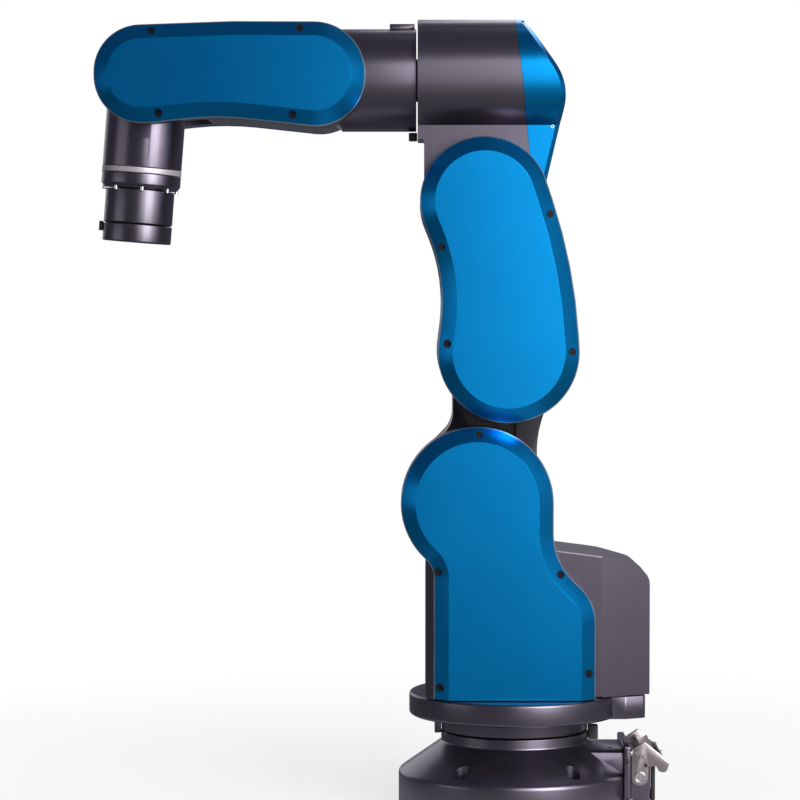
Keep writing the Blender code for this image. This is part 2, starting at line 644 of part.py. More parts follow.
# ---- elbow ---------------------------------------------------------------------------------------
def elbow_blank(name, kind):
    """Barrel round J4 and lobe round J3, as the side view shape met by the front view shape."""
    x, z = J3
    top = J4_Z + ELBOW_R
    barrel_front = 82.5
    side_shape = [
        (x - ELBOW_LOBE_R, z - ELBOW_LOBE_R, ELBOW_LOBE_R),
        (x + ELBOW_LOBE_R, z - ELBOW_LOBE_R, ELBOW_LOBE_R), (x + ELBOW_LOBE_R, J4_Z - ELBOW_R, 1),
        (barrel_front, J4_Z - ELBOW_R, 1), (barrel_front, top, 1),
        (-6.05, top, 6), (-43.8, 608.4, 47), (x - ELBOW_LOBE_R, 520.2, 8),
    ]
    blank = plate(name, side_shape, -ELBOW_R - 2, ELBOW_R + 2, kind)
    width = TONGUE_Y
    half = math.asin(width / ELBOW_R)
    steps = 24
    rim = [(ELBOW_R * math.sin(a), J4_Z - ELBOW_R * math.cos(a))
           for a in (half + (2 * math.pi - 2 * half) * i / steps for i in range(steps + 1))]
    front_shape = [(-width, z - 80, 0), (width, z - 80, 0)] + [(px, pz, 0) for px, pz in rim]
    turn = Matrix.Rotation(math.pi / 2, 4, "Z")
    key = plate(name + "_key", front_shape, -120, 120, place=turn)
    return boolean(blank, key, "INTERSECT")


def make_elbow():
    """Elbow housing, rear cap, J4 motor and reducer, J3 shaft and the J4 stop."""
    x, z = J3
    lean = math.radians(6.2)
    joint_x = -4.1
    behind = Matrix.Translation((joint_x, 0, J4_Z)) @ Matrix.Rotation(lean, 4, "Y")
    housing = elbow_blank("elbow_housing", "casting")
    cut(housing, box("elbow_rear_cut", (-300, -90, -300), (0, 90, 300), place=behind))
    cap = elbow_blank("elbow_cap", "cover")
    cut(cap, box("elbow_front_cut", (-GAP, -90, -300), (300, 90, 300), place=behind))
    cavity = rod("j4_cavity", 43, (-20, 0, J4_Z), 88, "x", facets=FACETS)
    cut(housing, cavity, rod("j4_mouth", 18.8, (60, 0, J4_Z), 40, "x"))
    cut(housing, rod("elbow_shaft_bore", SHAFT_R + GAP, (x, -60, z), 120, "y"))
    hollow = [(0, 0), (40, 0), (38, -6), (29, -18), (20, -24), (0, -24)]
    dome = turned("cap_cavity", hollow, (0, 0, J4_Z), "x")
    cut(cap, dome)
    profile = [(0, 60), (20, 60), (20, 56), (MOTOR_R, 56), (MOTOR_R, 0), (0, 0)]
    turned("j4_motor", profile, (-14, 0, J4_Z), "x", "black", HIDDEN_FACETS)
    ring("j4_reducer", 20 + GAP, 42.6, (43, 0, J4_Z), 24, "x", "steel")
    axle("elbow_shaft", J3, SHAFT_R)
    box("j4_stop", (82.5 + GAP, -7, J4_Z - ELBOW_R), (90, 7, J4_Z - FOREARM_R - 1.2), "black")


# ---- forearm -------------------------------------------------------------------------------------
def make_forearm():
    """Forearm tube and belt case with its fork, covers, J5 motor, bearings and stop lug."""
    shape = forearm_outline()
    case = plate("forearm_housing", inset(shape, 0.4), -HOUSING_Y, HOUSING_Y, "casting")
    barrel_start = 84.0
    barrel = [(0, 68), (37, 68), (FOREARM_R, 62), (FOREARM_R, 0), (18, 0), (18, -8), (0, -8)]
    join(case, turned("barrel", barrel, (barrel_start, 0, J4_Z), "x", facets=FACETS))
    cut(case, box("wrist_slot", (258, -FORK_Y, 500), (400, FORK_Y, 700)))
    for side in (-1, 1):
        name = side_name(side)
        low, high = sorted((side * POCKET_Y, side * (HOUSING_Y + 5)))
        cut(case, plate("forearm_pocket_" + name, inset(shape, POCKET_INSET), low, high))
        bearing_y = min(side * (FORK_Y + 0.4), side * (POCKET_Y - 0.4))
        cut(case, rod("wrist_bore_" + name, 20 + GAP, (J5[0], bearing_y - 3, J5[1]), 15, "y"))
        bearing = (J5[0], bearing_y, J5[1])
        ring("wrist_bearing_" + name, running_bore(WRIST_SHAFT_R), 20, bearing, 8.7, "y", "steel")
        belt_cover("forearm_cover_" + name, shape, side)
    cut(case, rod("j5_motor_bay", 25, (J5_MOTOR[0], -40, J5_MOTOR[1]), 90, "y"))
    motor("j5_motor", J5_MOTOR, 23, -38, 36, 55)
    lug = box("j4_stop_lug", (85, -7, J4_Z + FOREARM_R - 1), (106, 7, J4_Z + FOREARM_R + 4), "casting")
    cut(lug, rod("lug_seat", FOREARM_R + GAP, (70, 0, J4_Z), 60, "x", facets=72))


# ---- wrist and tool flange -----------------------------------------------------------------------
def wrist_frame():
    """Frame on the J5 axis whose -Z runs down to the tool face."""
    return Matrix.Translation((J5[0], 0, J5[1])) @ Matrix.Rotation(-WRIST_TILT, 4, "Y")


def make_wrist():
    """Wrist housing, light ring, collar, J6 motor and the J5 shaft."""
    frame = wrist_frame()
    r = WRIST_R
    housing = turned("wrist_housing", [(0, 10), (r, 10), (r, -74), (28, -74), (28, -20), (0, -20)],
                     (0, 0, 0), kind="casting", place=frame)
    knuckle = rod("wrist_knuckle", 34.2, (0, -TONGUE_Y, 0), 2 * TONGUE_Y, "y", facets=FACETS, place=frame)
    join(housing, knuckle)
    cut(housing, rod("wrist_shaft_bore", WRIST_SHAFT_R + GAP, (0, -60, 0), 120, "y", place=frame))
    for side in (-1, 1):
        low, high = sorted((side * TONGUE_Y, side * 60))
        cut(housing, box("wrist_flat", (-60, low, -50), (60, high, 60), place=frame))
    ring("wrist_ring", 26, r + 0.2, (0, 0, -79), 5 - GAP, kind="ring", facets=FACETS, place=frame)
    collar = [(r, -79.3), (r, -88), (r - 2.5, -91.7), (22, -91.7), (22, -79.3)]
    turned("wrist_collar", collar, (0, 0, 0), kind="casting", place=frame)
    shaft = [(0, -35), (24, -35), (24, -78), (20, -78), (20, -92.5), (0, -92.5)]
    turned("j6_motor", shaft, (0, 0, 0), kind="black", facets=HIDDEN_FACETS, place=frame)
    axle("wrist_shaft", J5, WRIST_SHAFT_R)


def make_flange():
    """Tool flange: body, groove and the plate with the tool bolt pattern."""
    frame = wrist_frame()
    r = FLANGE_R
    body = [(0, -92.8), (r - 0.6, -92.8), (r, -93.4), (r, -120.5), (r - 1.5, -121.6), (0, -121.6)]
    turned("flange_body", body, (0, 0, 0), kind="flange", place=frame)
    end = -FLANGE_END
    face = [(0, -121.9), (r - 1.2, -121.9), (r, -123), (r, end + 1), (r - 1, end), (10, end),
            (10, end + 5), (0, end + 5)]
    tool = turned("tool_flange", face, (0, 0, 0), kind="flange", place=frame)
    for i in range(4):
        turn = math.radians(45 + 90 * i)
        spot = (20 * math.cos(turn), 20 * math.sin(turn), end - 3)
        cut(tool, rod("tool_thread", 2.6, spot, 12, facets=12, place=frame))
    box("flange_key", (r + 0.3, -4, -129), (r + 3.3, 4, -121), "black", place=frame)


# ---- joints --------------------------------------------------------------------------------------
def pivot(name, x, y, z):
    """An empty on a joint's axis."""
    made = bpy.data.objects.new(name, None)
    made.location = (x * MM, y * MM, z * MM)
    parts.objects.link(made)
    return made


BODIES = {
    "turntable_axis": ["turntable", "j1_bearing", "j1_stop_dog", "j1_belt", "j1_motor", "shoulder_housing",
                       "shoulder_bearing_left", "shoulder_bearing_right", "shoulder_cover_left",
                       "shoulder_cover_right", "j2_motor", "j2_belt", "rear_box"],
    "shoulder_axis": ["lower_arm_casting", "elbow_bearing_left", "elbow_bearing_right",
                      "lower_arm_cover_left", "lower_arm_cover_right", "j3_motor", "j3_belt",
                      "shoulder_shaft", "j2_driven_pulley"],
    "elbow_axis": ["elbow_housing", "elbow_cap", "j4_motor", "j4_reducer", "j4_stop", "elbow_shaft",
                   "j3_driven_pulley"],
    "roll_axis": ["forearm_housing", "wrist_bearing_left", "wrist_bearing_right", "forearm_cover_left",
                  "forearm_cover_right", "j5_motor", "j5_belt", "j4_stop_lug"],
    "wrist_axis": ["wrist_housing", "wrist_ring", "wrist_collar", "j6_motor", "wrist_shaft",
                   "j5_driven_pulley"],
    "flange_axis": ["flange_body", "tool_flange", "flange_key"],
    "lever_axis": ["locking_lever"],
    "j1_pulley_axis": ["j1_motor_pulley"],
    "j2_pulley_axis": ["j2_motor_pulley"],
    "j3_pulley_axis": ["j3_motor_pulley"],
    "j5_pulley_axis": ["j5_motor_pulley"],
}


def hang_parts():
    """Parent every moving part to an empty on its joint's axis, and the empties to each other."""
    places = {
        "turntable_axis": (0, 0, 0), "shoulder_axis": (J2[0], 0, J2[1]), "elbow_axis": (J3[0], 0, J3[1]),
        "roll_axis": (84, 0, J4_Z), "wrist_axis": (J5[0], 0, J5[1]),
        "flange_axis": tuple(wrist_frame() @ Vector((0, 0, -92.5))), "lever_axis": (PLUG_X, 0, PLUG_Z),
        "j1_pulley_axis": (J1_MOTOR_X, 0, 90), "j2_pulley_axis": (J2_MOTOR[0], 50, J2_MOTOR[1]),
        "j3_pulley_axis": (J3_MOTOR[0], 50, J3_MOTOR[1]), "j5_pulley_axis": (J5_MOTOR[0], 50, J5_MOTOR[1]),
    }
    chain = {
        "shoulder_axis": "turntable_axis", "elbow_axis": "shoulder_axis", "roll_axis": "elbow_axis",
        "wrist_axis": "roll_axis", "flange_axis": "wrist_axis", "j1_pulley_axis": "turntable_axis",
        "j2_pulley_axis": "turntable_axis", "j3_pulley_axis": "shoulder_axis", "j5_pulley_axis": "roll_axis",
    }
    empties = {name: pivot(name, *spot) for name, spot in places.items()}
    bpy.context.view_layer.update()
    for child, parent in chain.items():
        adopt(empties[child], empties[parent])
    bpy.context.view_layer.update()
    for name, nodes in BODIES.items():
        for node in nodes:
            adopt(bpy.data.objects[node], empties[name])


def adopt(child, parent):
    child.parent = parent
    child.matrix_parent_inverse = parent.matrix_world.inverted()


def main():
    clear_scene()
    make_base()
    make_connector()
    make_turntable()
    make_shoulder()
    make_lower_arm()
    make_elbow()
    make_forearm()
    make_wrist()
    make_flange()
    belt_drive("j2", J2, J2_PULLEY_R, J2_MOTOR, SHAFT_R + GAP)
    belt_drive("j3", J3, J3_PULLEY_R, J3_MOTOR, SHAFT_R + GAP)
    belt_drive("j5", J5, J5_PULLEY_R, J5_MOTOR, WRIST_SHAFT_R + GAP)
    hang_parts()


main()
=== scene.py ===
"""Looks of a compact six-axis robot arm: finely shaped pieces, materials, light and camera on its CAD frame.

Sizes are in millimetres in the arm's own frame (+X in the direction of reach, +Y to its left, +Z up).
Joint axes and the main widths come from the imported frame; every mesh is turned into metres at the end.
Places of lights and camera are in metres.
"""
import json
import math

import bmesh
import bpy
from mathutils import Matrix, Vector


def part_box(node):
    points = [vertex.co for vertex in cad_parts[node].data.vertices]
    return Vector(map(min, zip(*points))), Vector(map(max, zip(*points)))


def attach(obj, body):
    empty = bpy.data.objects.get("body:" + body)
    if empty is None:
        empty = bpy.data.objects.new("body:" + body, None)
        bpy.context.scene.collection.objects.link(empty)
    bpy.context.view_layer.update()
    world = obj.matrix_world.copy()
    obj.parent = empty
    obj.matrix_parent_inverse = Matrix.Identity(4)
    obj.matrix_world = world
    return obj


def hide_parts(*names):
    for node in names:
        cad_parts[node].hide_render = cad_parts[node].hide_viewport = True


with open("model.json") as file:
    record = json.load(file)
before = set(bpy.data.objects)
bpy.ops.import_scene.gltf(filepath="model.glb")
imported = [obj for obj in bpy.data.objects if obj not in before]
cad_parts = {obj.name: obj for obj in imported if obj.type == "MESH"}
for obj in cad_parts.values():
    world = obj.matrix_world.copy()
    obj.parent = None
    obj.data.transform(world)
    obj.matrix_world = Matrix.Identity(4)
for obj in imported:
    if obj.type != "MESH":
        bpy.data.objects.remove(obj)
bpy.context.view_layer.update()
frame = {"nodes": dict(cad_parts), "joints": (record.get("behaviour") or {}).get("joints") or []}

MM = 0.001
ARC_STEP = 4.0       # degrees of arc for each facet of an outline
FILLET_STEP = 15.0   # the same for the small fillets of a turned profile
FACETS = 96          # facets round a turned piece
JOINTS = {joint["name"]: joint for joint in frame["joints"]}


def joint_spot(name):
    return Vector(JOINTS[name]["pos_m"]) / MM


def low(node):
    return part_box(node)[0] / MM


def high(node):
    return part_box(node)[1] / MM


# ---- places and widths read from the frame -------------------------------------------------------
J2 = (joint_spot("j2_shoulder").x, joint_spot("j2_shoulder").z)
J3 = (joint_spot("j3_elbow").x, joint_spot("j3_elbow").z)
J4_Z = joint_spot("j4_roll").z
J5 = (joint_spot("j5_wrist").x, joint_spot("j5_wrist").z)
J6_AXIS = Vector(JOINTS["j6_flange"]["axis"])
WRIST_TILT = math.atan2(J6_AXIS.x, -J6_AXIS.z)
LEVER = joint_spot("connector_lever")
J3_MOTOR = joint_spot("j3_pulley_spin")
COVER_SEAT = low("shoulder_cover_left").y
COVER_Y = high("shoulder_cover_left").y
HOUSING_Y = high("lower_arm_casting").y
DISC_TOP = high("turntable").z
DISC_BOTTOM = low("turntable").z + 13
HOUSING_BOTTOM = low("shoulder_housing").z
SHOULDER_R = high("shoulder_cover_left").z - J2[1]
ELBOW_END_R = high("lower_arm_cover_left").z - J3[1]
ELBOW_R = high("elbow_housing").z - J4_Z
BASE_R = high("base_casting").y
BASE_NECK_TOP = high("base_casting").z
DISC_R = high("turntable").y

# ---- sizes that the frame doesn't give -----------------------------------------------------------
FORK_Y = 33.0             # half the gap between two cheeks
TONGUE_Y = 32.4           # half the width of what turns in it
POCKET_Y = 44.0           # depth of the belt pockets, as a distance from the middle plane
POCKET_INSET = 8.0        # how far a belt pocket stays inside its link's outline
FORK_FLOOR = 434.0        # bottom of the lower arm's upper fork
MOTOR_END = (7.2, 387.3)  # middle of the lower arm's lower disc
MOTOR_END_R = 58.8
RIGHT_SHOULDER_R = 56.0   # the right cheek of the shoulder is smaller than the left one
HUB_R = 60.0              # the lower arm's hub, which turns in the shoulder's fork
ARM_NECK_REAR = -17.5     # rear face of the lower arm's neck
RECESS_LOW = (0, 22, 296)     # recess in the left side of that neck
RECESS_HIGH = (21, 40, 343)
ELBOW_LOBE_R = 50.0
CAP_LEAN = math.radians(6.2)
CAP_JOINT_X = -4.1        # where the leaning joint face of the rear cap crosses the J4 axis
FOREARM_R = 43.1
WRIST_R = 33.4
FLANGE_R = 29.0
MAIN_SHAFT_BORE_R = 15.3
MAIN_BEARING_BORE_R = 24.3
WRIST_SHAFT_BORE_R = 12.3
WRIST_BEARING_BORE_R = 20.3
CHAMFER_WIDTH = 11.5      # the wide chamfer round each belt cover
CHAMFER_DEPTH = 9.5
EDGE_BREAK = 0.8          # the cut edge outside it, lighter in colour: partly bare metal, partly a painted highlight
COVER_HOLLOW = 14.0       # the hollow in a cover lies this far inside its outline
COVER_WALL = 3.0          # wall in front of the hollow
COVER_FRONT = 69.0        # front edge of the shoulder covers
COVER_BLEND = 20.0        # radius where a shoulder cover turns from its disc into its foot
COVER_FOOT = HOUSING_BOTTOM + 0.7
TOWER_FRONT = 75.8        # front face of the shoulder tower
SCREW_INSET_Y = 6.2       # how far a cover screw's head lies below the cover's flat
SCREW_HEAD_H = 3.0
SCREW_HEAD_R = 3.1
SCREW_HOLE_R = 3.5
SCREW_SEAT_Y = 60.3       # bottom of the cover's screw holes
REAR_BOX_Y = 48.5         # half the width of the rear box
BASE_NECK_R = 62.3
SKIRT_TOP = 31.0          # height at which the base's cone meets its skirt
BOLT_X = 45.5             # places of the four base bolts
BOLT_Y = 73.0
BOSS_Y = 35.0             # half the width of the cable inlet's boss
BOSS_TOP = 51.5
BOSS_X = -90.0            # face of the boss that carries the inlet

# ---- places along the wrist's own axis, which grow more negative towards the tool ------------------
TUBE_END = -74.0
RING_TOP = -74.3
RING_END = -79.0
COLLAR_TOP = -79.3
COLLAR_END = -91.7
FLANGE_TOP = -92.8
FLANGE_STEP = -121.6
PLATE_TOP = -121.9
PLATE_END = -137.0

# ---- cover screws, as (x, z) from the joint axis named -------------------------------------------
SHOULDER_SCREWS = [(32.6, -56.9), (-69.2, -58.9), (31.2, -153.0), (-92.6, -141.2)]
LOWER_ARM_SCREWS = [(-54.0, -10.7), (36.5, -38.1), (31.2, -117.8), (-72.6, -124.6)]
FOREARM_SCREWS = [(-7.8, 36.3), (-130.0, 38.6), (-13.8, -31.5), (-124.2, -33.0)]


# ---- materials -----------------------------------------------------------------------------------
GLOSS_VARIED = 0.006
GRAIN_CONTRAST = 0.012
BLOTCH_CONTRAST = 0.06


def new_material(name, roughness, metallic):
    made = bpy.data.materials.new(name)
    made.use_nodes = True
    shader = made.node_tree.nodes["Principled BSDF"]
    shader.inputs["Roughness"].default_value = roughness
    shader.inputs["Metallic"].default_value = metallic
    return made, shader


def noise(tree, coordinates, scale, detail=2.0):
    made = tree.nodes.new("ShaderNodeTexNoise")
    made.inputs["Scale"].default_value = scale
    made.inputs["Detail"].default_value = detail
    tree.links.new(coordinates, made.inputs["Vector"])
    return made.outputs["Fac"]


def ramp(tree, source, stops):
    made = tree.nodes.new("ShaderNodeValToRGB")
    made.color_ramp.elements[0].position = stops[0][0]
    made.color_ramp.elements[0].color = (*stops[0][1], 1)
    made.color_ramp.elements[1].position = stops[-1][0]
    made.color_ramp.elements[1].color = (*stops[-1][1], 1)
    for position, colour in stops[1:-1]:
        made.color_ramp.elements.new(position).color = (*colour, 1)
    tree.links.new(source, made.inputs["Fac"])
    return made.outputs["Color"]


def spread(tree, source, smallest, largest):
    made = tree.nodes.new("ShaderNodeMapRange")
    made.inputs["To Min"].default_value = smallest
    made.inputs["To Max"].default_value = largest
    tree.links.new(source, made.inputs["Value"])
    return made.outputs["Result"]


def shade(colour, factor):
    return tuple(min(1.0, channel * factor) for channel in colour)


def finish(name, colour, roughness, metallic, grain, depth, stretch=(1, 1, 1)):
    """A blasted, moulded or brushed finish: fine grain in colour, gloss and bump over a faint blotch."""
    made, shader = new_material(name, roughness, metallic)
    tree = made.node_tree
    coordinates = tree.nodes.new("ShaderNodeTexCoord").outputs["Object"]
    mapping = tree.nodes.new("ShaderNodeMapping")
    mapping.inputs["Scale"].default_value = stretch
    tree.links.new(coordinates, mapping.inputs["Vector"])
    along = mapping.outputs["Vector"]
    fine = noise(tree, along, grain, 3.0)
    broad = noise(tree, coordinates, 14.0, 2.0)
    mix = tree.nodes.new("ShaderNodeMix")
    mix.data_type = "RGBA"
    mix.blend_type = "MULTIPLY"
    mix.inputs["Factor"].default_value = 1.0
    grains = [(0.3, shade(colour, 1 - GRAIN_CONTRAST)), (0.7, shade(colour, 1 + GRAIN_CONTRAST))]
    blotches = [(0.35, (1 - BLOTCH_CONTRAST,) * 3), (0.65, (1.0,) * 3)]
    tree.links.new(ramp(tree, fine, grains), mix.inputs["A"])
    tree.links.new(ramp(tree, broad, blotches), mix.inputs["B"])
    tree.links.new(mix.outputs["Result"], shader.inputs["Base Color"])
    gloss = spread(tree, fine, roughness - GLOSS_VARIED, roughness + GLOSS_VARIED)
    tree.links.new(gloss, shader.inputs["Roughness"])
    bump = tree.nodes.new("ShaderNodeBump")
    bump.inputs["Strength"].default_value = 0.25
    bump.inputs["Distance"].default_value = depth * MM
    tree.links.new(fine, bump.inputs["Height"])
    tree.links.new(bump.outputs["Normal"], shader.inputs["Normal"])
    return made


CASTING = finish("anodised_body", (0.152, 0.134, 0.170), 0.28, 0.95, 1500, 0.0012)
COVER = finish("anodised_blue", (0.003, 0.252, 0.610), 0.27, 0.97, 1300, 0.0004, stretch=(1, 1, 0.6))
# bare-metal colour of the covers' edge break, lightened to paint the edge's highlight
CUT_EDGE_HIGHLIGHT = finish("cut_edge_and_highlight", (0.46, 0.56, 0.68), 0.30, 1.0, 1800, 0.004)
TOOL = finish("anodised_tool", (0.138, 0.124, 0.152), 0.29, 0.95, 1500, 0.0012)
RING = finish("plain_ring", (0.54, 0.50, 0.52), 0.45, 0.50, 900, 0.008)
STAINLESS = finish("rolled_stainless", (0.38, 0.33, 0.325), 0.32, 1.0, 1100, 0.010, stretch=(1, 1, 9))
PIN_STEEL = finish("turned_steel", (0.66, 0.64, 0.64), 0.22, 1.0, 1500, 0.006)
# black oxide of the screws; on the lower arm's neck the same black is painted shade
BLACK_STEEL_AND_SHADE = finish("black_oxide_steel_and_neck_shade", (0.014, 0.014, 0.018), 0.27, 0.60, 1500, 0.004)
BRIGHT_SCREW = finish("zinc_screw", (0.72, 0.70, 0.70), 0.20, 1.0, 1500, 0.004)
RUBBER = finish("black_rubber", (0.012, 0.012, 0.013), 0.62, 0.0, 1200, 0.020)
PLASTIC = finish("black_plastic", (0.016, 0.016, 0.018), 0.45, 0.0, 1400, 0.012)
INSERT = finish("insert_plastic", (0.16, 0.15, 0.15), 0.50, 0.0, 1400, 0.012)
BELT = finish("belt_rubber", (0.014, 0.014, 0.014), 0.70, 0.0, 700, 0.030)


# ---- outlines ------------------------------------------------------------------------------------
def corner_points(before, corner, after, step):
    """The arc of radius corner[2] that rounds one corner of an outline."""
    here = Vector(corner[:2])
    back = (Vector(before[:2]) - here).normalized()
    ahead = (Vector(after[:2]) - here).normalized()
    turn = math.pi - back.angle(ahead)
    if corner[2] <= 0 or turn < 1e-4:
        return [here]
    start = here + back * (corner[2] * math.tan(turn / 2))
    centre = here + (back + ahead).normalized() * (corner[2] / math.cos(turn / 2))
    sign = 1 if back.x * ahead.y - back.y * ahead.x < 0 else -1
    steps = max(2, math.ceil(math.degrees(turn) / step - 0.01))
    spoke = start - centre
    return [centre + Matrix.Rotation(sign * turn * i / steps, 2) @ spoke for i in range(steps + 1)]


def outline(corners, step=ARC_STEP):
    """Points of a closed outline given as corners (x, z, radius)."""
    points = []
    for i, corner in enumerate(corners):
        points += corner_points(corners[i - 1], corner, corners[(i + 1) % len(corners)], step)
    return points


def inset(corners, distance):
    """The same corners moved inwards; outlines run anticlockwise."""
    moved = []
    for i, corner in enumerate(corners):
        here = Vector(corner[:2])
        first = (here - Vector(corners[i - 1][:2])).normalized()
        second = (Vector(corners[(i + 1) % len(corners)][:2]) - here).normalized()
        turn = first.x * second.y - first.y * second.x
        inward = Vector((-first.y - second.y, first.x + second.x))
        point = here + inward * (distance / (1 + first.dot(second)))
        radius = corner[2] - distance if turn > 0 else corner[2] + distance
        moved.append((point.x, point.y, max(radius, 0.4) if corner[2] else 0))
    return moved


def tangent_line(centre, radius, degrees):
    """The line that touches a circle at an angle, as a point and a direction."""
    turn = math.radians(degrees)
    touch = (centre[0] + radius * math.cos(turn), centre[1] + radius * math.sin(turn))
    return touch, (-math.sin(turn), math.cos(turn))


def crossing(first, second):
    (ax, ay), (adx, ady) = first
    (bx, by), (bdx, bdy) = second
    reach = ((bx - ax) * bdy - (by - ay) * bdx) / (adx * bdy - ady * bdx)
    return ax + adx * reach, ay + ady * reach


# ---- meshes --------------------------------------------------------------------------------------
def new_object(name, work, place=None):
    """Turn a bmesh in millimetres into an object in metres."""
    if place:
        work.transform(place)
    bmesh.ops.remove_doubles(work, verts=work.verts, dist=0.001)
    work.normal_update()
    bmesh.ops.recalc_face_normals(work, faces=work.faces)
    work.transform(Matrix.Scale(MM, 4))
    mesh = bpy.data.meshes.new(name)
    work.to_mesh(mesh)
    work.free()
    made = bpy.data.objects.new(name, mesh)
    bpy.context.scene.collection.objects.link(made)
    return made


def ring_faces(work, first, second, material=0):
    for i in range(len(first)):
        corners = []
        for vertex in (first[i - 1], first[i], second[i], second[i - 1]):
            if vertex not in corners:
                corners.append(vertex)
        if len(corners) > 2:
            work.faces.new(corners).material_index = material


def loft(name, sections, place=None):
    """A solid through outlines with the same corners; a section is (corners, y, material above it)."""
    work = bmesh.new()
    rings = []
    for corners, y, _ in sections:
        rings.append([work.verts.new((p.x, y, p.y)) for p in outline(corners)])
    for i, section in enumerate(sections[:-1]):
        ring_faces(work, rings[i], rings[i + 1], section[2])
    work.faces.new(rings[0])
    work.faces.new(rings[-1])
    return new_object(name, work, place)


def slab(name, corners, y_low, y_high, edge=0.0, place=None):
    """An outline in the XZ plane with thickness along Y and rounded edges."""
    sections = [(corners, y_low, 0), (corners, y_high, 0)]
    if edge:
        inner = inset(corners, edge)
        middle = inset(corners, edge * 0.3)
        sections = [(inner, y_low, 0), (middle, y_low + edge * 0.3, 0), (corners, y_low + edge, 0),
                    (corners, y_high - edge, 0), (middle, y_high - edge * 0.3, 0), (inner, y_high, 0)]
    return loft(name, sections, place)


SWAP_YZ = Matrix(((1, 0, 0, 0), (0, 0, 1, 0), (0, 1, 0, 0), (0, 0, 0, 1)))
AXIS = {
    "x": Matrix.Rotation(math.pi / 2, 4, "Y"),
    "y": Matrix.Rotation(-math.pi / 2, 4, "X"),
    "z": Matrix.Identity(4),
}


def turned(name, corners, start=(0, 0, 0), axis="z", place=None, facets=FACETS):
    """A turned solid from a closed profile of corners (radius, height, fillet)."""
    work = bmesh.new()
    turns = [2 * math.pi * i / facets for i in range(facets)]
    rings = []
    for point in outline(corners, FILLET_STEP):
        if point.x < 1e-6:
            rings.append([work.verts.new((0, 0, point.y))] * facets)
            continue
        rings.append([work.verts.new((point.x * math.cos(a), point.x * math.sin(a), point.y)) for a in turns])
    for i, ring in enumerate(rings):
        if ring[0] is not ring[1] or rings[i - 1][0] is not rings[i - 1][1]:
            ring_faces(work, rings[i - 1], ring)
    spot = Matrix.Translation(start) @ AXIS[axis]
    return new_object(name, work, place @ spot if place else spot)


def rod(name, radius, start, length, axis="z", place=None, facets=48):
    profile = [(0, 0, 0), (radius, 0, 0), (radius, length, 0), (0, length, 0)]
    return turned(name, profile, start, axis, place, facets)


def box(name, corner, opposite, place=None):
    work = bmesh.new()
    bmesh.ops.create_cube(work, size=1)
    size = Vector(opposite) - Vector(corner)
    middle = (Vector(corner) + Vector(opposite)) / 2
    work.transform(Matrix.Translation(middle) @ Matrix.Diagonal((*size, 1)))
    return new_object(name, work, place)


def bake(piece):
    """Replace an object's mesh by what its modifiers make of it."""
    bpy.context.view_layer.update()
    depsgraph = bpy.context.evaluated_depsgraph_get()
    mesh = bpy.data.meshes.new_from_object(piece.evaluated_get(depsgraph))
    plain = piece.data
    piece.modifiers.clear()
    piece.data = mesh
    bpy.data.meshes.remove(plain)
    return piece


def combine(piece, others, operation):
    for other in others:
        step = piece.modifiers.new("shape", "BOOLEAN")
        step.operation = operation
        step.solver = "EXACT"
        step.object = other
    bake(piece)
    for other in others:
        bpy.data.objects.remove(other, do_unlink=True)
    return piece


def cut(piece, *others):
    return combine(piece, others, "DIFFERENCE")


def join(piece, *others):
    return combine(piece, others, "UNION")


def soften(piece, width, angle=32.0, segments=2):
    """Weld what a Boolean left, then round the edges sharper than an angle."""
    work = bmesh.new()
    work.from_mesh(piece.data)
    bmesh.ops.remove_doubles(work, verts=work.verts, dist=0.01 * MM)
    bmesh.ops.dissolve_limit(work, angle_limit=math.radians(0.3), verts=work.verts, edges=work.edges,
                             delimit={"MATERIAL"})
    work.to_mesh(piece.data)
    work.free()
    piece.data.shade_smooth()
    round_off = piece.modifiers.new("edge", "BEVEL")
    round_off.width = width * MM
    round_off.segments = segments
    round_off.limit_method = "ANGLE"
    round_off.angle_limit = math.radians(angle)
    round_off.harden_normals = True
    return bake(piece)


def dress(piece, body, material, nodes=(), extra=None, smooth=True):
    """Give a piece its material, body and the CAD nodes it stands for."""
    for finish_of in (material, extra):
        if finish_of:
            piece.data.materials.append(finish_of)
    if smooth:
        piece.data.shade_smooth()
        piece.data.set_sharp_from_angle(angle=math.radians(28))
    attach(piece, body)
    if nodes:
        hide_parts(*nodes)
    return piece


def add_screw(work, spot, radius, height, socket, deep):
    """A socket head screw added to a mesh: a rim with a small chamfer round a hexagonal hole."""
    facets = 24
    rim = 0.12 * radius
    turns = [2 * math.pi * i / facets for i in range(facets)]

    def circle(r, h):
        return [work.verts.new(spot @ Vector((r * math.cos(a), r * math.sin(a), h))) for a in turns]

    def hexagon(h):
        reach = [socket / math.cos((a + math.pi / 6) % (math.pi / 3) - math.pi / 6) for a in turns]
        return [work.verts.new(spot @ Vector((r * math.cos(a), r * math.sin(a), h)))
                for r, a in zip(reach, turns)]

    rings = [circle(radius, 0), circle(radius, height - rim), circle(radius - rim, height), hexagon(height),
             hexagon(height - deep)]
    for first, second in zip(rings, rings[1:]):
        ring_faces(work, first, second)
    work.faces.new(rings[0])
    work.faces.new(rings[-1])


def screws(name, spots, radius, height, body, material=BLACK_STEEL_AND_SHADE):
    """One piece with a screw at each placing matrix, whose +Z points out of the surface."""
    work = bmesh.new()
    for spot in spots:
        add_screw(work, spot, radius, height, radius * 0.5, height * 0.6)
    return dress(new_object(name, work), body, material)


def side_name(side):
    return "left" if side > 0 else "right"


def facing(side):
    """Turns +Z to point out of the left or the right side."""
    return AXIS["y"] if side > 0 else Matrix.Rotation(math.pi / 2, 4, "X")


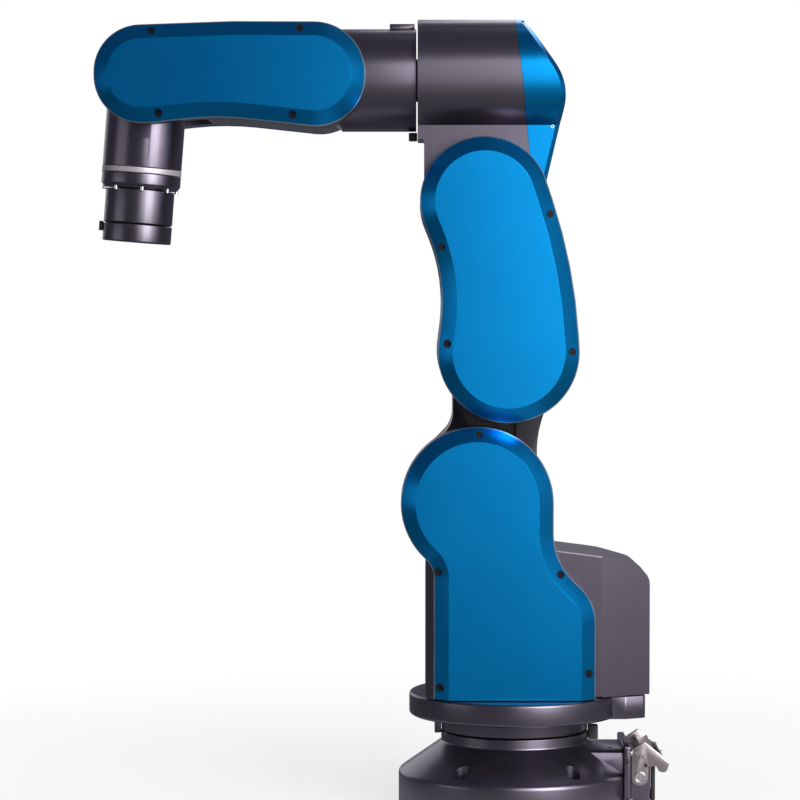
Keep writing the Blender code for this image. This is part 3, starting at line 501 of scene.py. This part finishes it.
# ---- belt covers ---------------------------------------------------------------------------------
def belt_cover(part, corners, hollow, body, origin, spots, foot=None, sides=(-1, 1)):
    """The left and right covers of a link, with counterbored screws in the chamfer."""
    crown = COVER_Y - CHAMFER_DEPTH
    for side in sides:
        name = side_name(side)
        # the band of the edge break takes the second material, whose lighter colour is partly a painted
        # highlight
        cover = loft("cover_" + part + "_" + name, [
            (corners, side * COVER_SEAT, 0), (corners, side * (crown - EDGE_BREAK), 1),
            (inset(corners, EDGE_BREAK), side * crown, 0),
            (inset(corners, EDGE_BREAK + CHAMFER_WIDTH), side * COVER_Y, 0)])
        depth = sorted((side * (COVER_SEAT - 2), side * (COVER_Y - COVER_WALL)))
        holes = [slab("hollow", hollow, *depth)]
        placing = []
        head_foot = side * (COVER_Y - SCREW_INSET_Y - SCREW_HEAD_H)
        hole_y, hole_end = sorted((side * SCREW_SEAT_Y, side * 80.0))
        for dx, dz in spots:
            x = origin[0] + dx
            z = origin[1] + dz
            holes.append(rod("hole", SCREW_HOLE_R, (x, hole_y, z), hole_end - hole_y, "y", facets=32))
            placing.append(Matrix.Translation((x, head_foot, z)) @ facing(side))
        if foot:
            holes.append(box("foot", (-140, -90, 20), (160, 90, foot)))
        cut(cover, *holes)
        soften(cover, 0.3, 12.0)
        dress(cover, body, COVER, [part + "_cover_" + name], CUT_EDGE_HIGHLIGHT, smooth=False)
        screws("screws_" + part + "_" + name, placing, SCREW_HEAD_R, SCREW_HEAD_H, body)


def shoulder_outline(r, front_x, low_z, blend):
    """Side view of the shoulder: a circle of radius r round J2 blended into an upright tower."""
    x, z = J2
    rear_x = -65.4
    slope = x - z + r * math.sqrt(2)
    rear_slope = -244.6
    return [
        (front_x, low_z, 1), (front_x, front_x - slope, blend), (x + r, x + r - slope, r), (x + r, z + r, r),
        (x - r, z + r, r), (x - r, x - r - rear_slope, 55), (rear_x, rear_x - rear_slope, 40),
        (rear_x, low_z, 1),
    ]


def lower_arm_outline():
    """Side view of the lower arm: a circle round J3 and one round its motor, waisted at the front."""
    x, z = J3
    r = ELBOW_END_R
    motor = MOTOR_END
    mr = MOTOR_END_R
    front = tangent_line((x, z), r, -22.5)
    waist = tangent_line(motor, mr, 7.5)
    rear = tangent_line((x, z), r, 161.5)
    rear_low = tangent_line(motor, mr, 176.5)
    level_top = ((x, z + r), (1, 0))
    level_low = ((motor[0], motor[1] - mr), (1, 0))
    face = ((x + r, z), (0, 1))
    spots = [
        (crossing(level_low, waist), mr), (crossing(waist, front), 150), (crossing(front, face), r),
        (crossing(face, level_top), r), (crossing(level_top, rear), r), (crossing(rear, rear_low), 440),
        (crossing(rear_low, level_low), mr),
    ]
    return [(spot[0], spot[1], radius) for spot, radius in spots]


def forearm_outline():
    """Side view of the forearm's belt case."""
    return [
        (125.6, 568.8, 41), (248, 582.2, 250), (302, 576.3, 90), (349.9, 576.3, 39.2),
        (349.9, 656, 39.2), (235, 660, 0), (125.6, 659.6, 42.5),
    ]


def make_covers():
    for side, radius in ((-1, RIGHT_SHOULDER_R), (1, SHOULDER_R)):
        shape = shoulder_outline(radius, COVER_FRONT, COVER_FOOT, COVER_BLEND)
        tall = [(x, z - 30 if z < COVER_FOOT + 1 else z, r) for x, z, r in shape]
        spots = [(-1.0, radius - 5.8)] + SHOULDER_SCREWS
        belt_cover("shoulder", tall, inset(shape, COVER_HOLLOW), "shoulder", J2, spots, COVER_FOOT, [side])
    shape = lower_arm_outline()
    belt_cover("lower_arm", shape, inset(shape, COVER_HOLLOW), "lower_arm", J3, LOWER_ARM_SCREWS)
    shape = forearm_outline()
    belt_cover("forearm", shape, inset(shape, COVER_HOLLOW), "forearm", J5, FOREARM_SCREWS)


# ---- base ----------------------------------------------------------------------------------------
def make_base():
    top = BASE_NECK_TOP
    profile = [(BASE_NECK_R, top, 0.8), (BASE_NECK_R, 56.5, 2.5), (BASE_R, SKIRT_TOP, 5), (BASE_R, 0, 5),
               (72, 0, 0.5), (72, 26, 0), (50, 42, 0), (50, top - 6, 0), (31, top - 6, 0), (31, top, 0.5)]
    shell = turned("base_shell", profile, facets=144)
    boss = slab("boss", [(BOSS_X - 6, 2, 1), (-78, 2, 0), (-78, 28, 0), (-57, 40, 0), (-57, BOSS_TOP, 0),
                         (BOSS_X - 6, BOSS_TOP, 1)], -BOSS_Y, BOSS_Y, 5.0)
    join(shell, boss)
    holes = [box("boss_face", (-130, -46, -5), (BOSS_X, 46, 80)),
             box("cable_way", (-95, -24, 8), (-60, 24, 44))]
    bolts = []
    for x in (-BOLT_X, BOLT_X):
        for y in (-BOLT_Y, BOLT_Y):
            spot = (x, y)
            holes.append(rod("bolt_hole", 4.5, (*spot, -5), 60))
            holes.append(rod("bolt_seat", 6.4, (*spot, 22), 40))
            bolts.append(Matrix.Translation((*spot, 22.2)))
    cut(shell, *holes)
    soften(shell, 0.6)
    dress(shell, "base", CASTING, ["base_casting"], smooth=False)
    screws("base_bolts", bolts, 5.6, 7.0, "base", BRIGHT_SCREW)
    screws("boss_screw", [Matrix.Translation((-80.5, 14, BOSS_TOP - 1.6))], 2.4, 1.8, "base")


def make_connector():
    front = high("connector_housing").x
    tip = low("connector_housing").x
    flange = slab("inlet_shell", [(front - 6, 4, 1.5), (front, 4, 1.5), (front, 56.5, 1.5),
                                  (front - 6, 56.5, 1.5)], -41, 41, 1.5)
    shell = slab("shell", [(tip, 8, 3), (front - 5, 8, 0), (front - 5, 47, 0), (tip, 47, 3)], -34, 34, 2.0)
    join(flange, shell)
    cut(flange, box("shell_inside", (front - 40, -31, 11), (front - 3, 31, 44)),
        rod("pin_hole_left", 3.6, (LEVER.x, 26, LEVER.z), 16, "y"),
        rod("pin_hole_right", 3.6, (LEVER.x, -42, LEVER.z), 16, "y"))
    soften(flange, 0.4)
    dress(flange, "base", CASTING, ["connector_housing"], smooth=False)
    outward = Matrix.Rotation(-math.pi / 2, 4, "Y")
    corners = [Matrix.Translation((front - 6, side * 37.3, z)) @ outward
               for side in (-1, 1) for z in (10, 50.5)]
    screws("inlet_screws", corners, 2.7, 1.6, "base", BRIGHT_SCREW)
    flanks = [Matrix.Translation((front - 3, side * 40.6, z)) @ facing(side)
              for side in (-1, 1) for z in (11, 44)]
    screws("inlet_side_screws", flanks, 2.0, 0.4, "base", BRIGHT_SCREW)

    insert_front = low("connector_insert").x
    back = high("connector_insert").x
    block = slab("contact_block", [(insert_front, 11.5, 1), (back, 11.5, 0.5), (back, 43.5, 0.5),
                                   (insert_front, 43.5, 1)], -30.5, 30.5, 0.8)
    sockets = [rod("contact", 2.6, (insert_front - 2, y, z), 10, "x", facets=24)
               for y in (-16, 0, 16) for z in (20, 35)]
    cut(block, *sockets)
    soften(block, 0.3)
    dress(block, "base", INSERT, ["connector_insert"], smooth=False)

    seal_low = low("connector_seal")
    seal_high = high("connector_seal")
    seal = slab("inlet_seal", [(seal_low.x, 9, 1.4), (seal_high.x, 9, 1.4), (seal_high.x, 46, 1.4),
                               (seal_low.x, 46, 1.4)], -33, 33, 1.3)
    cut(seal, box("seal_hole", (seal_low.x - 10, -30, 12), (seal_high.x + 3, 30, 43)))
    soften(seal, 0.6)
    dress(seal, "base", RUBBER, ["connector_seal"], smooth=False)

    for side in (-1, 1):
        turn = Matrix.Identity(4) if side > 0 else Matrix.Scale(-1, 4, (0, 1, 0))
        spot = Matrix.Translation((LEVER.x, side * 31.2, LEVER.z)) @ turn @ AXIS["y"]
        pin = [(0, 0, 0), (3.3, 0, 0), (3.3, 7, 0), (5, 7, 0.3), (5, 8.5, 0.5), (3.6, 8.5, 0.3),
               (3.2, 7.6, 0.2), (0, 7.6, 0)]
        made = turned("lever_rivet_" + side_name(side), pin, place=spot, facets=40)
        dress(made, "base", PIN_STEEL, ["lever_pin_" + side_name(side)])


def lever_outline():
    """Side view of the locking lever's cheek."""
    x = LEVER.x
    z = LEVER.z
    return [
        (x + 7, z + 23, 2), (x - 4, z + 30, 2), (x - 19, z + 18, 3), (x - 25, z + 12, 3),
        (x - 22, z + 3.5, 3.4), (x - 16, z + 5, 2), (x - 14, z + 9, 1), (x - 7.4, z + 9, 1),
        (x - 7, z - 7.2, 6.6), (x + 7, z - 7.2, 6.6),
    ]


def make_lever():
    shape = lever_outline()
    lever = slab("lever_bail", shape, 34.6, 37.6, 0.4)
    far = slab("far_cheek", shape, -37.6, -34.6, 0.4)
    bridge = slab("bridge", [(LEVER.x - 12, 51.5, 1), (LEVER.x - 1, 51.5, 1), (LEVER.x - 1, 54.5, 1),
                             (LEVER.x - 12, 54.5, 1)], -36, 36)
    grip = slab("grip", [(LEVER.x - 24, 36, 1), (LEVER.x - 20, 36, 1), (LEVER.x - 17, 48, 1),
                         (LEVER.x - 19, 49, 1)], -36, 36)
    join(lever, far, bridge, grip)
    holes = []
    for y in (28, -44):
        holes.append(rod("pivot", 3.6, (LEVER.x, y, LEVER.z), 16, "y"))
        holes.append(rod("window", 1.7, (LEVER.x - 4.5, y, LEVER.z + 10), 16, "y"))
    cut(lever, *holes)
    soften(lever, 0.3)
    dress(lever, "lever", STAINLESS, ["locking_lever"], smooth=False)
    rivets = [Matrix.Translation((LEVER.x + dx, 37.6, LEVER.z + dz)) @ facing(1)
              for dx, dz in ((2.5, 20.5), (-1.5, 17.5))]
    screws("lever_rivets", rivets, 1.9, 0.9, "lever", BRIGHT_SCREW)


# ---- turntable and shoulder ----------------------------------------------------------------------
def make_turntable():
    hub_low = low("turntable").z
    profile = [(46, DISC_TOP, 0.5), (46, 81, 0), (45.3, 80, 0), (45.3, hub_low, 0.4), (62, hub_low, 1.0),
               (62, DISC_BOTTOM, 1.5), (DISC_R, DISC_BOTTOM, 3.0), (DISC_R, DISC_TOP, 2.4)]
    disc = turned("turntable_disc", profile, facets=144)
    lug = slab("lug", [(-109.0, -30, 4), (-92, -38, 4), (-60, -38, 1), (-60, 38, 1), (-92, 38, 4),
                       (-109.0, 30, 4)], DISC_BOTTOM, DISC_TOP, 0.8, SWAP_YZ)
    join(disc, lug)
    trench = slab("trench", [(48, -48, 40), (48, 48, 40), (-12, 48, 30), (-102, 18, 15), (-102, -18, 15),
                             (-12, -48, 30)], 84, 110, place=SWAP_YZ)
    cut(disc, trench)
    soften(disc, 0.5)
    dress(disc, "shoulder", CASTING, ["turntable"], smooth=False)


def make_shoulder():
    x, z = J2
    shape = shoulder_outline(SHOULDER_R, TOWER_FRONT, HOUSING_BOTTOM, 2)
    housing = slab("shoulder_tower", shape, -FORK_Y, HOUSING_Y, 0.6)
    small = shoulder_outline(RIGHT_SHOULDER_R, TOWER_FRONT, HOUSING_BOTTOM, 2)
    join(housing, slab("right_cheek", small, -HOUSING_Y, -FORK_Y + 1, 0.6))
    cutters = [box("slot", (-120, -FORK_Y, z), (150, FORK_Y, 400)),
               rod("slot_floor", HUB_R + 7, (x, -FORK_Y, z), 2 * FORK_Y, "y", facets=FACETS),
               box("motor_bay", (-48, -42, 106), (60, 50, 186)),
               slab("corner", [(69.3, 57.8, 0), (76.0, 49.8, 0), (90, 49.8, 0), (90, 70, 0), (69.3, 70, 0)],
                    90, 223, place=SWAP_YZ)]
    for side, radius in ((-1, RIGHT_SHOULDER_R), (1, SHOULDER_R)):
        y = sorted((side * POCKET_Y, side * (HOUSING_Y + 5)))
        pocket = shoulder_outline(radius, COVER_FRONT, COVER_FOOT, COVER_BLEND)
        cutters.append(slab("pocket", inset(pocket, POCKET_INSET), *y))
        cutters.append(rod("bore", MAIN_BEARING_BORE_R, (x, min(side * 30, side * 45), z), 15, "y"))
    cut(housing, *cutters)
    soften(housing, 0.5)
    dress(housing, "shoulder", CASTING, ["shoulder_housing"], smooth=False)

    back = low("rear_box").x
    case = slab("rear_case", [(back, 98.7, 1), (-20, 98.7, 0), (-20, 223.6, 0), (-72, 217, 120),
                              (-98.5, 210.3, 10), (back, 197.5, 14)], -REAR_BOX_Y, REAR_BOX_Y, 1.2)
    cutters = []
    for side in (-1, 1):
        flank = side * REAR_BOX_Y
        clear = side * 90
        taper = [(-71, flank, 0), (-150, side * 6.5, 0), (-150, clear, 0), (-60, clear, 0), (-60, flank, 0)]
        cutters.append(slab("taper", taper[::-side], 60, 260, place=SWAP_YZ))
    cutters.append(slab("front", inset(shape, -0.3), -90, 90))
    cutters.append(box("bay", (-106, -22, 90), (-67, 22, 190)))
    cut(case, *cutters)
    soften(case, 0.7, 18.0)
    dress(case, "shoulder", CASTING, ["rear_box"], smooth=False)


# ---- lower arm -----------------------------------------------------------------------------------
def paint_neck_shade(arm):
    """Give the neck's two sides, and the recess in the left one, the second material, a black that paints the
    shade between the covers and in the recess.
    """
    for face in arm.data.polygons:
        middle = face.center / MM
        on_neck = abs(middle.y) < TONGUE_Y + 0.2 and 270 < middle.z < 360
        in_recess = middle.y > RECESS_LOW[1] - 1 and 0 <= middle.x < RECESS_HIGH[0] + 1
        if on_neck and (in_recess or abs(face.normal.y) > 0.9):
            face.material_index = 1


def make_lower_arm():
    x, z = J2
    shape = lower_arm_outline()
    arm = slab("lower_arm_body", inset(shape, 0.4), -HOUSING_Y, HOUSING_Y, 0.6)
    front = x + HUB_R - 1
    diagonal = x + z + HUB_R * math.sqrt(2) - 0.4
    neck = slab("neck", [(ARM_NECK_REAR, z - 4, 0), (front, z - 4, 0), (front, diagonal - front, HUB_R - 1),
                         (53, diagonal - 53, 25), (53, 362, 0), (-32, 362, 0), (ARM_NECK_REAR, 318, 90)],
                -TONGUE_Y, TONGUE_Y, 0.6)
    hub = rod("hub", HUB_R, (x, -TONGUE_Y, z), 2 * TONGUE_Y, "y", facets=FACETS)
    join(arm, neck, hub)
    cutters = [rod("hub_bore", MAIN_SHAFT_BORE_R, (x, -50, z), 100, "y"),
               box("fork", (-90, -FORK_Y, FORK_FLOOR), (140, FORK_Y, 600)),
               box("recess", RECESS_LOW, RECESS_HIGH),
               rod("motor_bay", 30, (J3_MOTOR.x, -40, J3_MOTOR.z), 90, "y")]
    for side in (-1, 1):
        y = sorted((side * POCKET_Y, side * (HOUSING_Y + 5)))
        cutters.append(slab("pocket", inset(shape, POCKET_INSET), *y))
        cutters.append(rod("bore", MAIN_BEARING_BORE_R, (J3[0], min(side * 30, side * 45), J3[1]), 15, "y"))
    cut(arm, *cutters)
    soften(arm, 0.6)
    paint_neck_shade(arm)
    # the neck's sides and recess carry black as painted shade
    dress(arm, "lower_arm", CASTING, ["lower_arm_casting"], BLACK_STEEL_AND_SHADE, smooth=False)


# ---- elbow ---------------------------------------------------------------------------------------
def elbow_blank(name):
    """Barrel round J4 and lobe round J3, as the side view shape met by the front view shape."""
    x, z = J3
    r = ELBOW_LOBE_R
    top = J4_Z + ELBOW_R
    front = high("elbow_housing").x
    side_shape = [
        (x - r, z - r, r), (x + r, z - r, r), (x + r, J4_Z - ELBOW_R, 1), (front, J4_Z - ELBOW_R, 1),
        (front, top, 1), (-6.05, top, 6), (-43.8, 608.4, 47), (x - r, 520.2, 8),
    ]
    blank = slab(name, side_shape, -ELBOW_R - 2, ELBOW_R + 2)
    half = math.asin(TONGUE_Y / ELBOW_R)
    steps = 72
    rim = [(ELBOW_R * math.sin(a), J4_Z - ELBOW_R * math.cos(a), 0)
           for a in (half + (2 * math.pi - 2 * half) * i / steps for i in range(steps + 1))]
    key_shape = [(-TONGUE_Y, z - 80, 0), (TONGUE_Y, z - 80, 0)] + rim
    key = slab("key", key_shape, -120, 120, place=Matrix.Rotation(math.pi / 2, 4, "Z"))
    return combine(blank, [key], "INTERSECT")


def make_elbow():
    x, z = J3
    behind = Matrix.Translation((CAP_JOINT_X, 0, J4_Z)) @ Matrix.Rotation(CAP_LEAN, 4, "Y")
    housing = elbow_blank("elbow_barrel")
    cut(housing, box("rear", (-300, -90, -300), (0, 90, 300), behind),
        rod("cavity", 43, (-20, 0, J4_Z), 88, "x"), rod("mouth", 18.8, (60, 0, J4_Z), 40, "x"),
        rod("shaft_bore", MAIN_SHAFT_BORE_R, (x, -60, z), 120, "y"))
    soften(housing, 0.5, 30)
    dress(housing, "elbow", CASTING, ["elbow_housing"], smooth=False)

    cap = elbow_blank("elbow_rear_cap")
    hollow = [(0, 0, 0), (0, -24, 0), (20, -24, 0), (29, -18, 0), (38, -6, 0), (40, 0, 0)]
    cut(cap, box("front", (-0.3, -90, -300), (300, 90, 300), behind),
        turned("hollow", hollow, (0, 0, J4_Z), "x"))
    chamfer_rim(cap, 3.6, behind)
    soften(cap, 0.3, 30)
    dress(cap, "elbow", COVER, ["elbow_cap"], smooth=False)
    spot = Matrix.Translation((-30.0, 31.2, 575.0)) @ facing(1)
    screws("cap_screws", [spot], 1.6, 1.5, "elbow", BRIGHT_SCREW)


def chamfer_rim(cap, width, joint_face):
    """A wide chamfer where the cap's rear surface meets its sides, away from its joint face."""
    work = bmesh.new()
    work.from_mesh(cap.data)
    bmesh.ops.remove_doubles(work, verts=work.verts, dist=0.01 * MM)
    bmesh.ops.dissolve_limit(work, angle_limit=math.radians(0.3), verts=work.verts, edges=work.edges)
    to_face = joint_face.inverted()
    rim = []
    for edge in work.edges:
        middle = (edge.verts[0].co + edge.verts[1].co) / 2 / MM
        behind_face = (to_face @ middle).x < -1.0
        if behind_face and edge.is_manifold and edge.calc_face_angle() > math.radians(50):
            if max(abs(middle.y), math.hypot(middle.y, middle.z - J4_Z)) > TONGUE_Y - 1.0:
                rim.append(edge)
    bmesh.ops.bevel(work, geom=rim, offset=width * MM, offset_type="OFFSET", segments=1, profile=0.5,
                    affect="EDGES", clamp_overlap=False)
    work.to_mesh(cap.data)
    work.free()


# ---- forearm -------------------------------------------------------------------------------------
def make_forearm():
    shape = forearm_outline()
    case = slab("forearm_body", inset(shape, 0.4), -HOUSING_Y, HOUSING_Y, 0.6)
    start = joint_spot("j4_roll").x
    lead = -0.4
    barrel = [(0, 68, 0), (0, -8, 0), (18, -8, 0.5), (18, lead, 0), (FOREARM_R, lead, 0.6),
              (FOREARM_R, 62, 0), (37, 68, 0)]
    join(case, turned("barrel", barrel, (start, 0, J4_Z), "x"))
    cutters = [box("wrist_slot", (258, -FORK_Y, 500), (400, FORK_Y, 700)),
               rod("motor_bay", 25, (171, -40, 616), 90, "y")]
    for side in (-1, 1):
        y = sorted((side * POCKET_Y, side * (HOUSING_Y + 5)))
        cutters.append(slab("pocket", inset(shape, POCKET_INSET), *y))
        wall_y = min(side * 30, side * 45)
        cutters.append(rod("bore", WRIST_BEARING_BORE_R, (J5[0], wall_y, J5[1]), 15, "y"))
    cut(case, *cutters)
    soften(case, 0.6)
    dress(case, "forearm", CASTING, ["forearm_housing"], smooth=False)


# ---- wrist and tool flange -----------------------------------------------------------------------
WRIST_PLACE = Matrix.Translation((J5[0], 0, J5[1])) @ Matrix.Rotation(-WRIST_TILT, 4, "Y")


def make_wrist():
    r = WRIST_R
    tube = [(0, 10, 0), (0, -20, 0), (28, -20, 0), (28, TUBE_END, 0), (r, TUBE_END, 0.5), (r, 10, 1.5)]
    housing = turned("wrist_tube", tube, place=WRIST_PLACE)
    join(housing, rod("knuckle", 34.2, (0, -TONGUE_Y, 0), 2 * TONGUE_Y, "y", WRIST_PLACE, FACETS))
    cut(housing, rod("shaft_bore", WRIST_SHAFT_BORE_R, (0, -60, 0), 120, "y", WRIST_PLACE),
        box("flat_left", (-60, TONGUE_Y, -50), (60, 60, 60), WRIST_PLACE),
        box("flat_right", (-60, -60, -50), (60, -TONGUE_Y, 60), WRIST_PLACE))
    soften(housing, 0.5)
    dress(housing, "wrist", CASTING, ["wrist_housing"], smooth=False)
    ring = [(26, RING_END, 0.2), (r + 0.2, RING_END, 0.6), (r + 0.2, RING_TOP, 0.6), (26, RING_TOP, 0.2)]
    dress(turned("light_ring", ring, place=WRIST_PLACE), "wrist", RING, ["wrist_ring"])
    collar = [(22, COLLAR_END, 0.3), (r - 2.5, COLLAR_END, 0.3), (r, COLLAR_END + 3.7, 0.6),
              (r, COLLAR_TOP, 0.6), (22, COLLAR_TOP, 0.2)]
    dress(turned("wrist_band", collar, place=WRIST_PLACE), "wrist", CASTING, ["wrist_collar"])
    bolts = []
    for i in range(8):
        turn = math.radians(98 - 45 * i)
        spot = Vector((30.4 * math.cos(turn), 30.4 * math.sin(turn), COLLAR_END + 1.1))
        bolts.append(WRIST_PLACE @ Matrix.Translation(spot) @ Matrix.Rotation(math.pi, 4, "X"))
    screws("collar_bolts", bolts, 1.7, 3.2, "wrist", BRIGHT_SCREW)


def make_flange():
    r = FLANGE_R
    end = PLATE_END
    barrel = [(0, FLANGE_TOP, 0), (0, FLANGE_STEP, 0), (r - 1.5, FLANGE_STEP, 0.2), (r, FLANGE_STEP + 1, 0.3),
              (r, FLANGE_TOP, 0.6)]
    dress(turned("flange_barrel", barrel, place=WRIST_PLACE), "flange", TOOL, ["flange_body"])
    plate = [(0, PLATE_TOP, 0), (0, end + 5, 0), (10, end + 5, 0), (10, end, 0.5), (r, end, 1.2),
             (r, PLATE_TOP, 1.0)]
    tool = turned("tool_plate", plate, place=WRIST_PLACE)
    circle = 20.0
    holes = []
    for i in range(4):
        turn = math.radians(45 + 90 * i)
        spot = (circle * math.cos(turn), circle * math.sin(turn), end - 3)
        holes.append(rod("thread", 2.6, spot, 12, place=WRIST_PLACE))
    holes.append(rod("locating_hole", 2.0, (circle, 0, end - 3), 9, place=WRIST_PLACE))
    cut(tool, *holes)
    soften(tool, 0.3)
    dress(tool, "flange", TOOL, ["tool_flange"], smooth=False)
    round_flange = WRIST_PLACE @ Matrix.Rotation(math.radians(28), 4, "Z")
    grub = round_flange @ Matrix.Translation((r - 1.0, 0, -106)) @ AXIS["x"]
    screws("flange_grub_screw", [grub], 1.8, 1.2, "flange", BRIGHT_SCREW)


# ---- CAD nodes that are shown as they are --------------------------------------------------------
def refine(node, body, material, width):
    """A copy of a small CAD node with its edges rounded."""
    piece = bpy.data.objects.new(node + "_edged", frame["nodes"][node].data.copy())
    bpy.context.scene.collection.objects.link(piece)
    piece.data.materials.clear()
    soften(piece, width, 40)
    dress(piece, body, material, [node], smooth=False)


def make_small_parts():
    refine("j1_stop_block", "base", PLASTIC, 0.8)
    refine("j1_stop_dog", "shoulder", CASTING, 0.8)
    refine("j4_stop", "elbow", PLASTIC, 0.8)
    refine("j4_stop_lug", "forearm", CASTING, 0.6)
    refine("flange_key", "flange", PLASTIC, 0.5)


def dress_hidden_nodes():
    """Materials for the nodes inside the arm, which keep their CAD shapes."""
    kinds = {"motor": PLASTIC, "belt": BELT, "pulley": PIN_STEEL, "bearing": PIN_STEEL, "shaft": PIN_STEEL,
             "reducer": PIN_STEEL, "column": TOOL, "plate": CASTING}
    for name, node in frame["nodes"].items():
        if node.hide_render:
            continue
        kind = next((kinds[word] for word in reversed(name.split("_")) if word in kinds), CASTING)
        node.data.materials.clear()
        node.data.materials.append(kind)


# ---- floor, light and camera ---------------------------------------------------------------------
def fade(tree, distance, near, far, at_near, at_far):
    """A value that runs from at_near to at_far between two distances from the middle of the floor."""
    made = tree.nodes.new("ShaderNodeMapRange")
    made.inputs["From Min"].default_value = near
    made.inputs["From Max"].default_value = far
    made.inputs["To Min"].default_value = at_near
    made.inputs["To Max"].default_value = at_far
    tree.links.new(distance, made.inputs["Value"])
    return made.outputs["Result"]


def camera_mix(tree, for_others, for_camera):
    """One shader for what the camera sees directly and another for light and reflections."""
    mix = tree.nodes.new("ShaderNodeMixShader")
    tree.links.new(tree.nodes.new("ShaderNodeLightPath").outputs["Is Camera Ray"], mix.inputs["Fac"])
    tree.links.new(for_others, mix.inputs[1])
    tree.links.new(for_camera, mix.inputs[2])
    return mix.outputs["Shader"]


def make_floor():
    """A white floor with a faint contact shadow for the camera, and for light and reflections a dull one with
    a painted pool of light round the base.
    """
    work = bmesh.new()
    bmesh.ops.create_circle(work, cap_ends=True, segments=96, radius=3000)
    floor = new_object("studio_floor", work, Matrix.Translation((0, 0, -0.2)))
    made, shader = new_material("studio_white", 0.7, 0.0)
    tree = made.node_tree
    coordinates = tree.nodes.new("ShaderNodeTexCoord").outputs["Object"]
    length = tree.nodes.new("ShaderNodeVectorMath")
    length.operation = "LENGTH"
    tree.links.new(coordinates, length.inputs[0])
    distance = length.outputs["Value"]
    tones = ramp(tree, noise(tree, coordinates, 3.0), [(0.3, (0.92, 0.92, 0.92)), (0.7, (0.96, 0.96, 0.96))])
    tree.links.new(tones, shader.inputs["Base Color"])
    glow = tree.nodes.new("ShaderNodeEmission")
    glow.inputs["Strength"].default_value = 1.0
    seen = tree.nodes.new("ShaderNodeMixShader")
    tree.links.new(fade(tree, distance, 0.15, 0.9, 0.72, 1.0), seen.inputs["Fac"])
    tree.links.new(shader.outputs["BSDF"], seen.inputs[1])
    tree.links.new(glow.outputs["Emission"], seen.inputs[2])
    # painted pool of light: for light and reflections the floor is lighter close round the base than farther
    # out
    dull = tree.nodes.new("ShaderNodeBsdfDiffuse")
    tree.links.new(fade(tree, distance, 0.12, 0.32, 0.75, 0.22), dull.inputs["Color"])
    whole = camera_mix(tree, dull.outputs["BSDF"], seen.outputs["Shader"])
    tree.links.new(whole, tree.nodes["Material Output"].inputs["Surface"])
    floor.data.materials.append(made)


def make_world():
    """White behind the arm for the camera, and a dim grey room for everything else."""
    world = bpy.data.worlds.new("studio")
    bpy.context.scene.world = world
    world.use_nodes = True
    tree = world.node_tree
    room = tree.nodes["Background"]
    room.inputs["Color"].default_value = (0.74, 0.74, 1.0, 1)
    room.inputs["Strength"].default_value = 0.15
    seen = tree.nodes.new("ShaderNodeBackground")
    seen.inputs["Color"].default_value = (1.0, 1.0, 1.0, 1)
    seen.inputs["Strength"].default_value = 1.0
    whole = camera_mix(tree, room.outputs["Background"], seen.outputs["Background"])
    tree.links.new(whole, tree.nodes["World Output"].inputs["Surface"])


ARM_MIDDLE = Vector((0.05, 0, 0.40))


def soft_box(name, place, width, height, power):
    """A rectangular light that faces the arm's middle; power is in watts."""
    lamp = bpy.data.lights.new(name, "AREA")
    lamp.shape = "RECTANGLE"
    lamp.size = width
    lamp.size_y = height
    lamp.energy = power
    made = bpy.data.objects.new(name, lamp)
    made.location = place
    made.rotation_mode = "QUATERNION"
    made.rotation_quaternion = (ARM_MIDDLE - Vector(place)).to_track_quat("-Z", "Y")
    made.visible_camera = False
    bpy.context.scene.collection.objects.link(made)


def make_lights():
    soft_box("key", (-1.42, 2.12, 1.25), 1.45, 2.3, 88)
    soft_box("key_edge", (-0.45, 2.50, 1.38), 0.72, 1.95, 11.5)
    soft_box("key_right", (-2.20, 1.35, 1.10), 0.75, 2.0, 11)
    soft_box("front_low", (-0.58, 2.45, 0.26), 1.2, 0.52, 2.0)
    soft_box("left_fill", (2.4, 1.1, 0.25), 1.5, 1.4, 5)
    soft_box("right_fill", (-2.6, 0.3, 0.6), 1.6, 1.6, 2.0)
    soft_box("top_fill", (-0.55, -0.6, 2.3), 0.9, 0.9, 1.3)
    soft_box("rear_fill", (-0.9, -2.3, 2.0), 2.0, 1.6, 18)
    soft_box("rear_low", (1.4, -2.3, 0.9), 1.8, 1.6, 7)


FOCAL_LENGTH = 127.35
CAMERA_PLACE = (0.083, 2.4, 0.4335)
CAMERA_AIM = Vector((0.0060, -1.0, -0.0367))


def make_camera():
    bpy.context.scene.view_settings.view_transform = "Standard"
    lens = bpy.data.cameras.new("camera")
    lens.sensor_width = 36
    lens.lens = FOCAL_LENGTH
    camera = bpy.data.objects.new("camera", lens)
    bpy.context.scene.collection.objects.link(camera)
    bpy.context.scene.camera = camera
    camera.location = CAMERA_PLACE
    camera.rotation_mode = "QUATERNION"
    camera.rotation_quaternion = CAMERA_AIM.normalized().to_track_quat("-Z", "Y")
    lens.clip_start = 0.05
    lens.clip_end = 50


make_covers()
make_base()
make_connector()
make_lever()
make_turntable()
make_shoulder()
make_lower_arm()
make_elbow()
make_forearm()
make_wrist()
make_flange()
make_small_parts()
dress_hidden_nodes()
make_floor()
make_world()
make_lights()
make_camera()
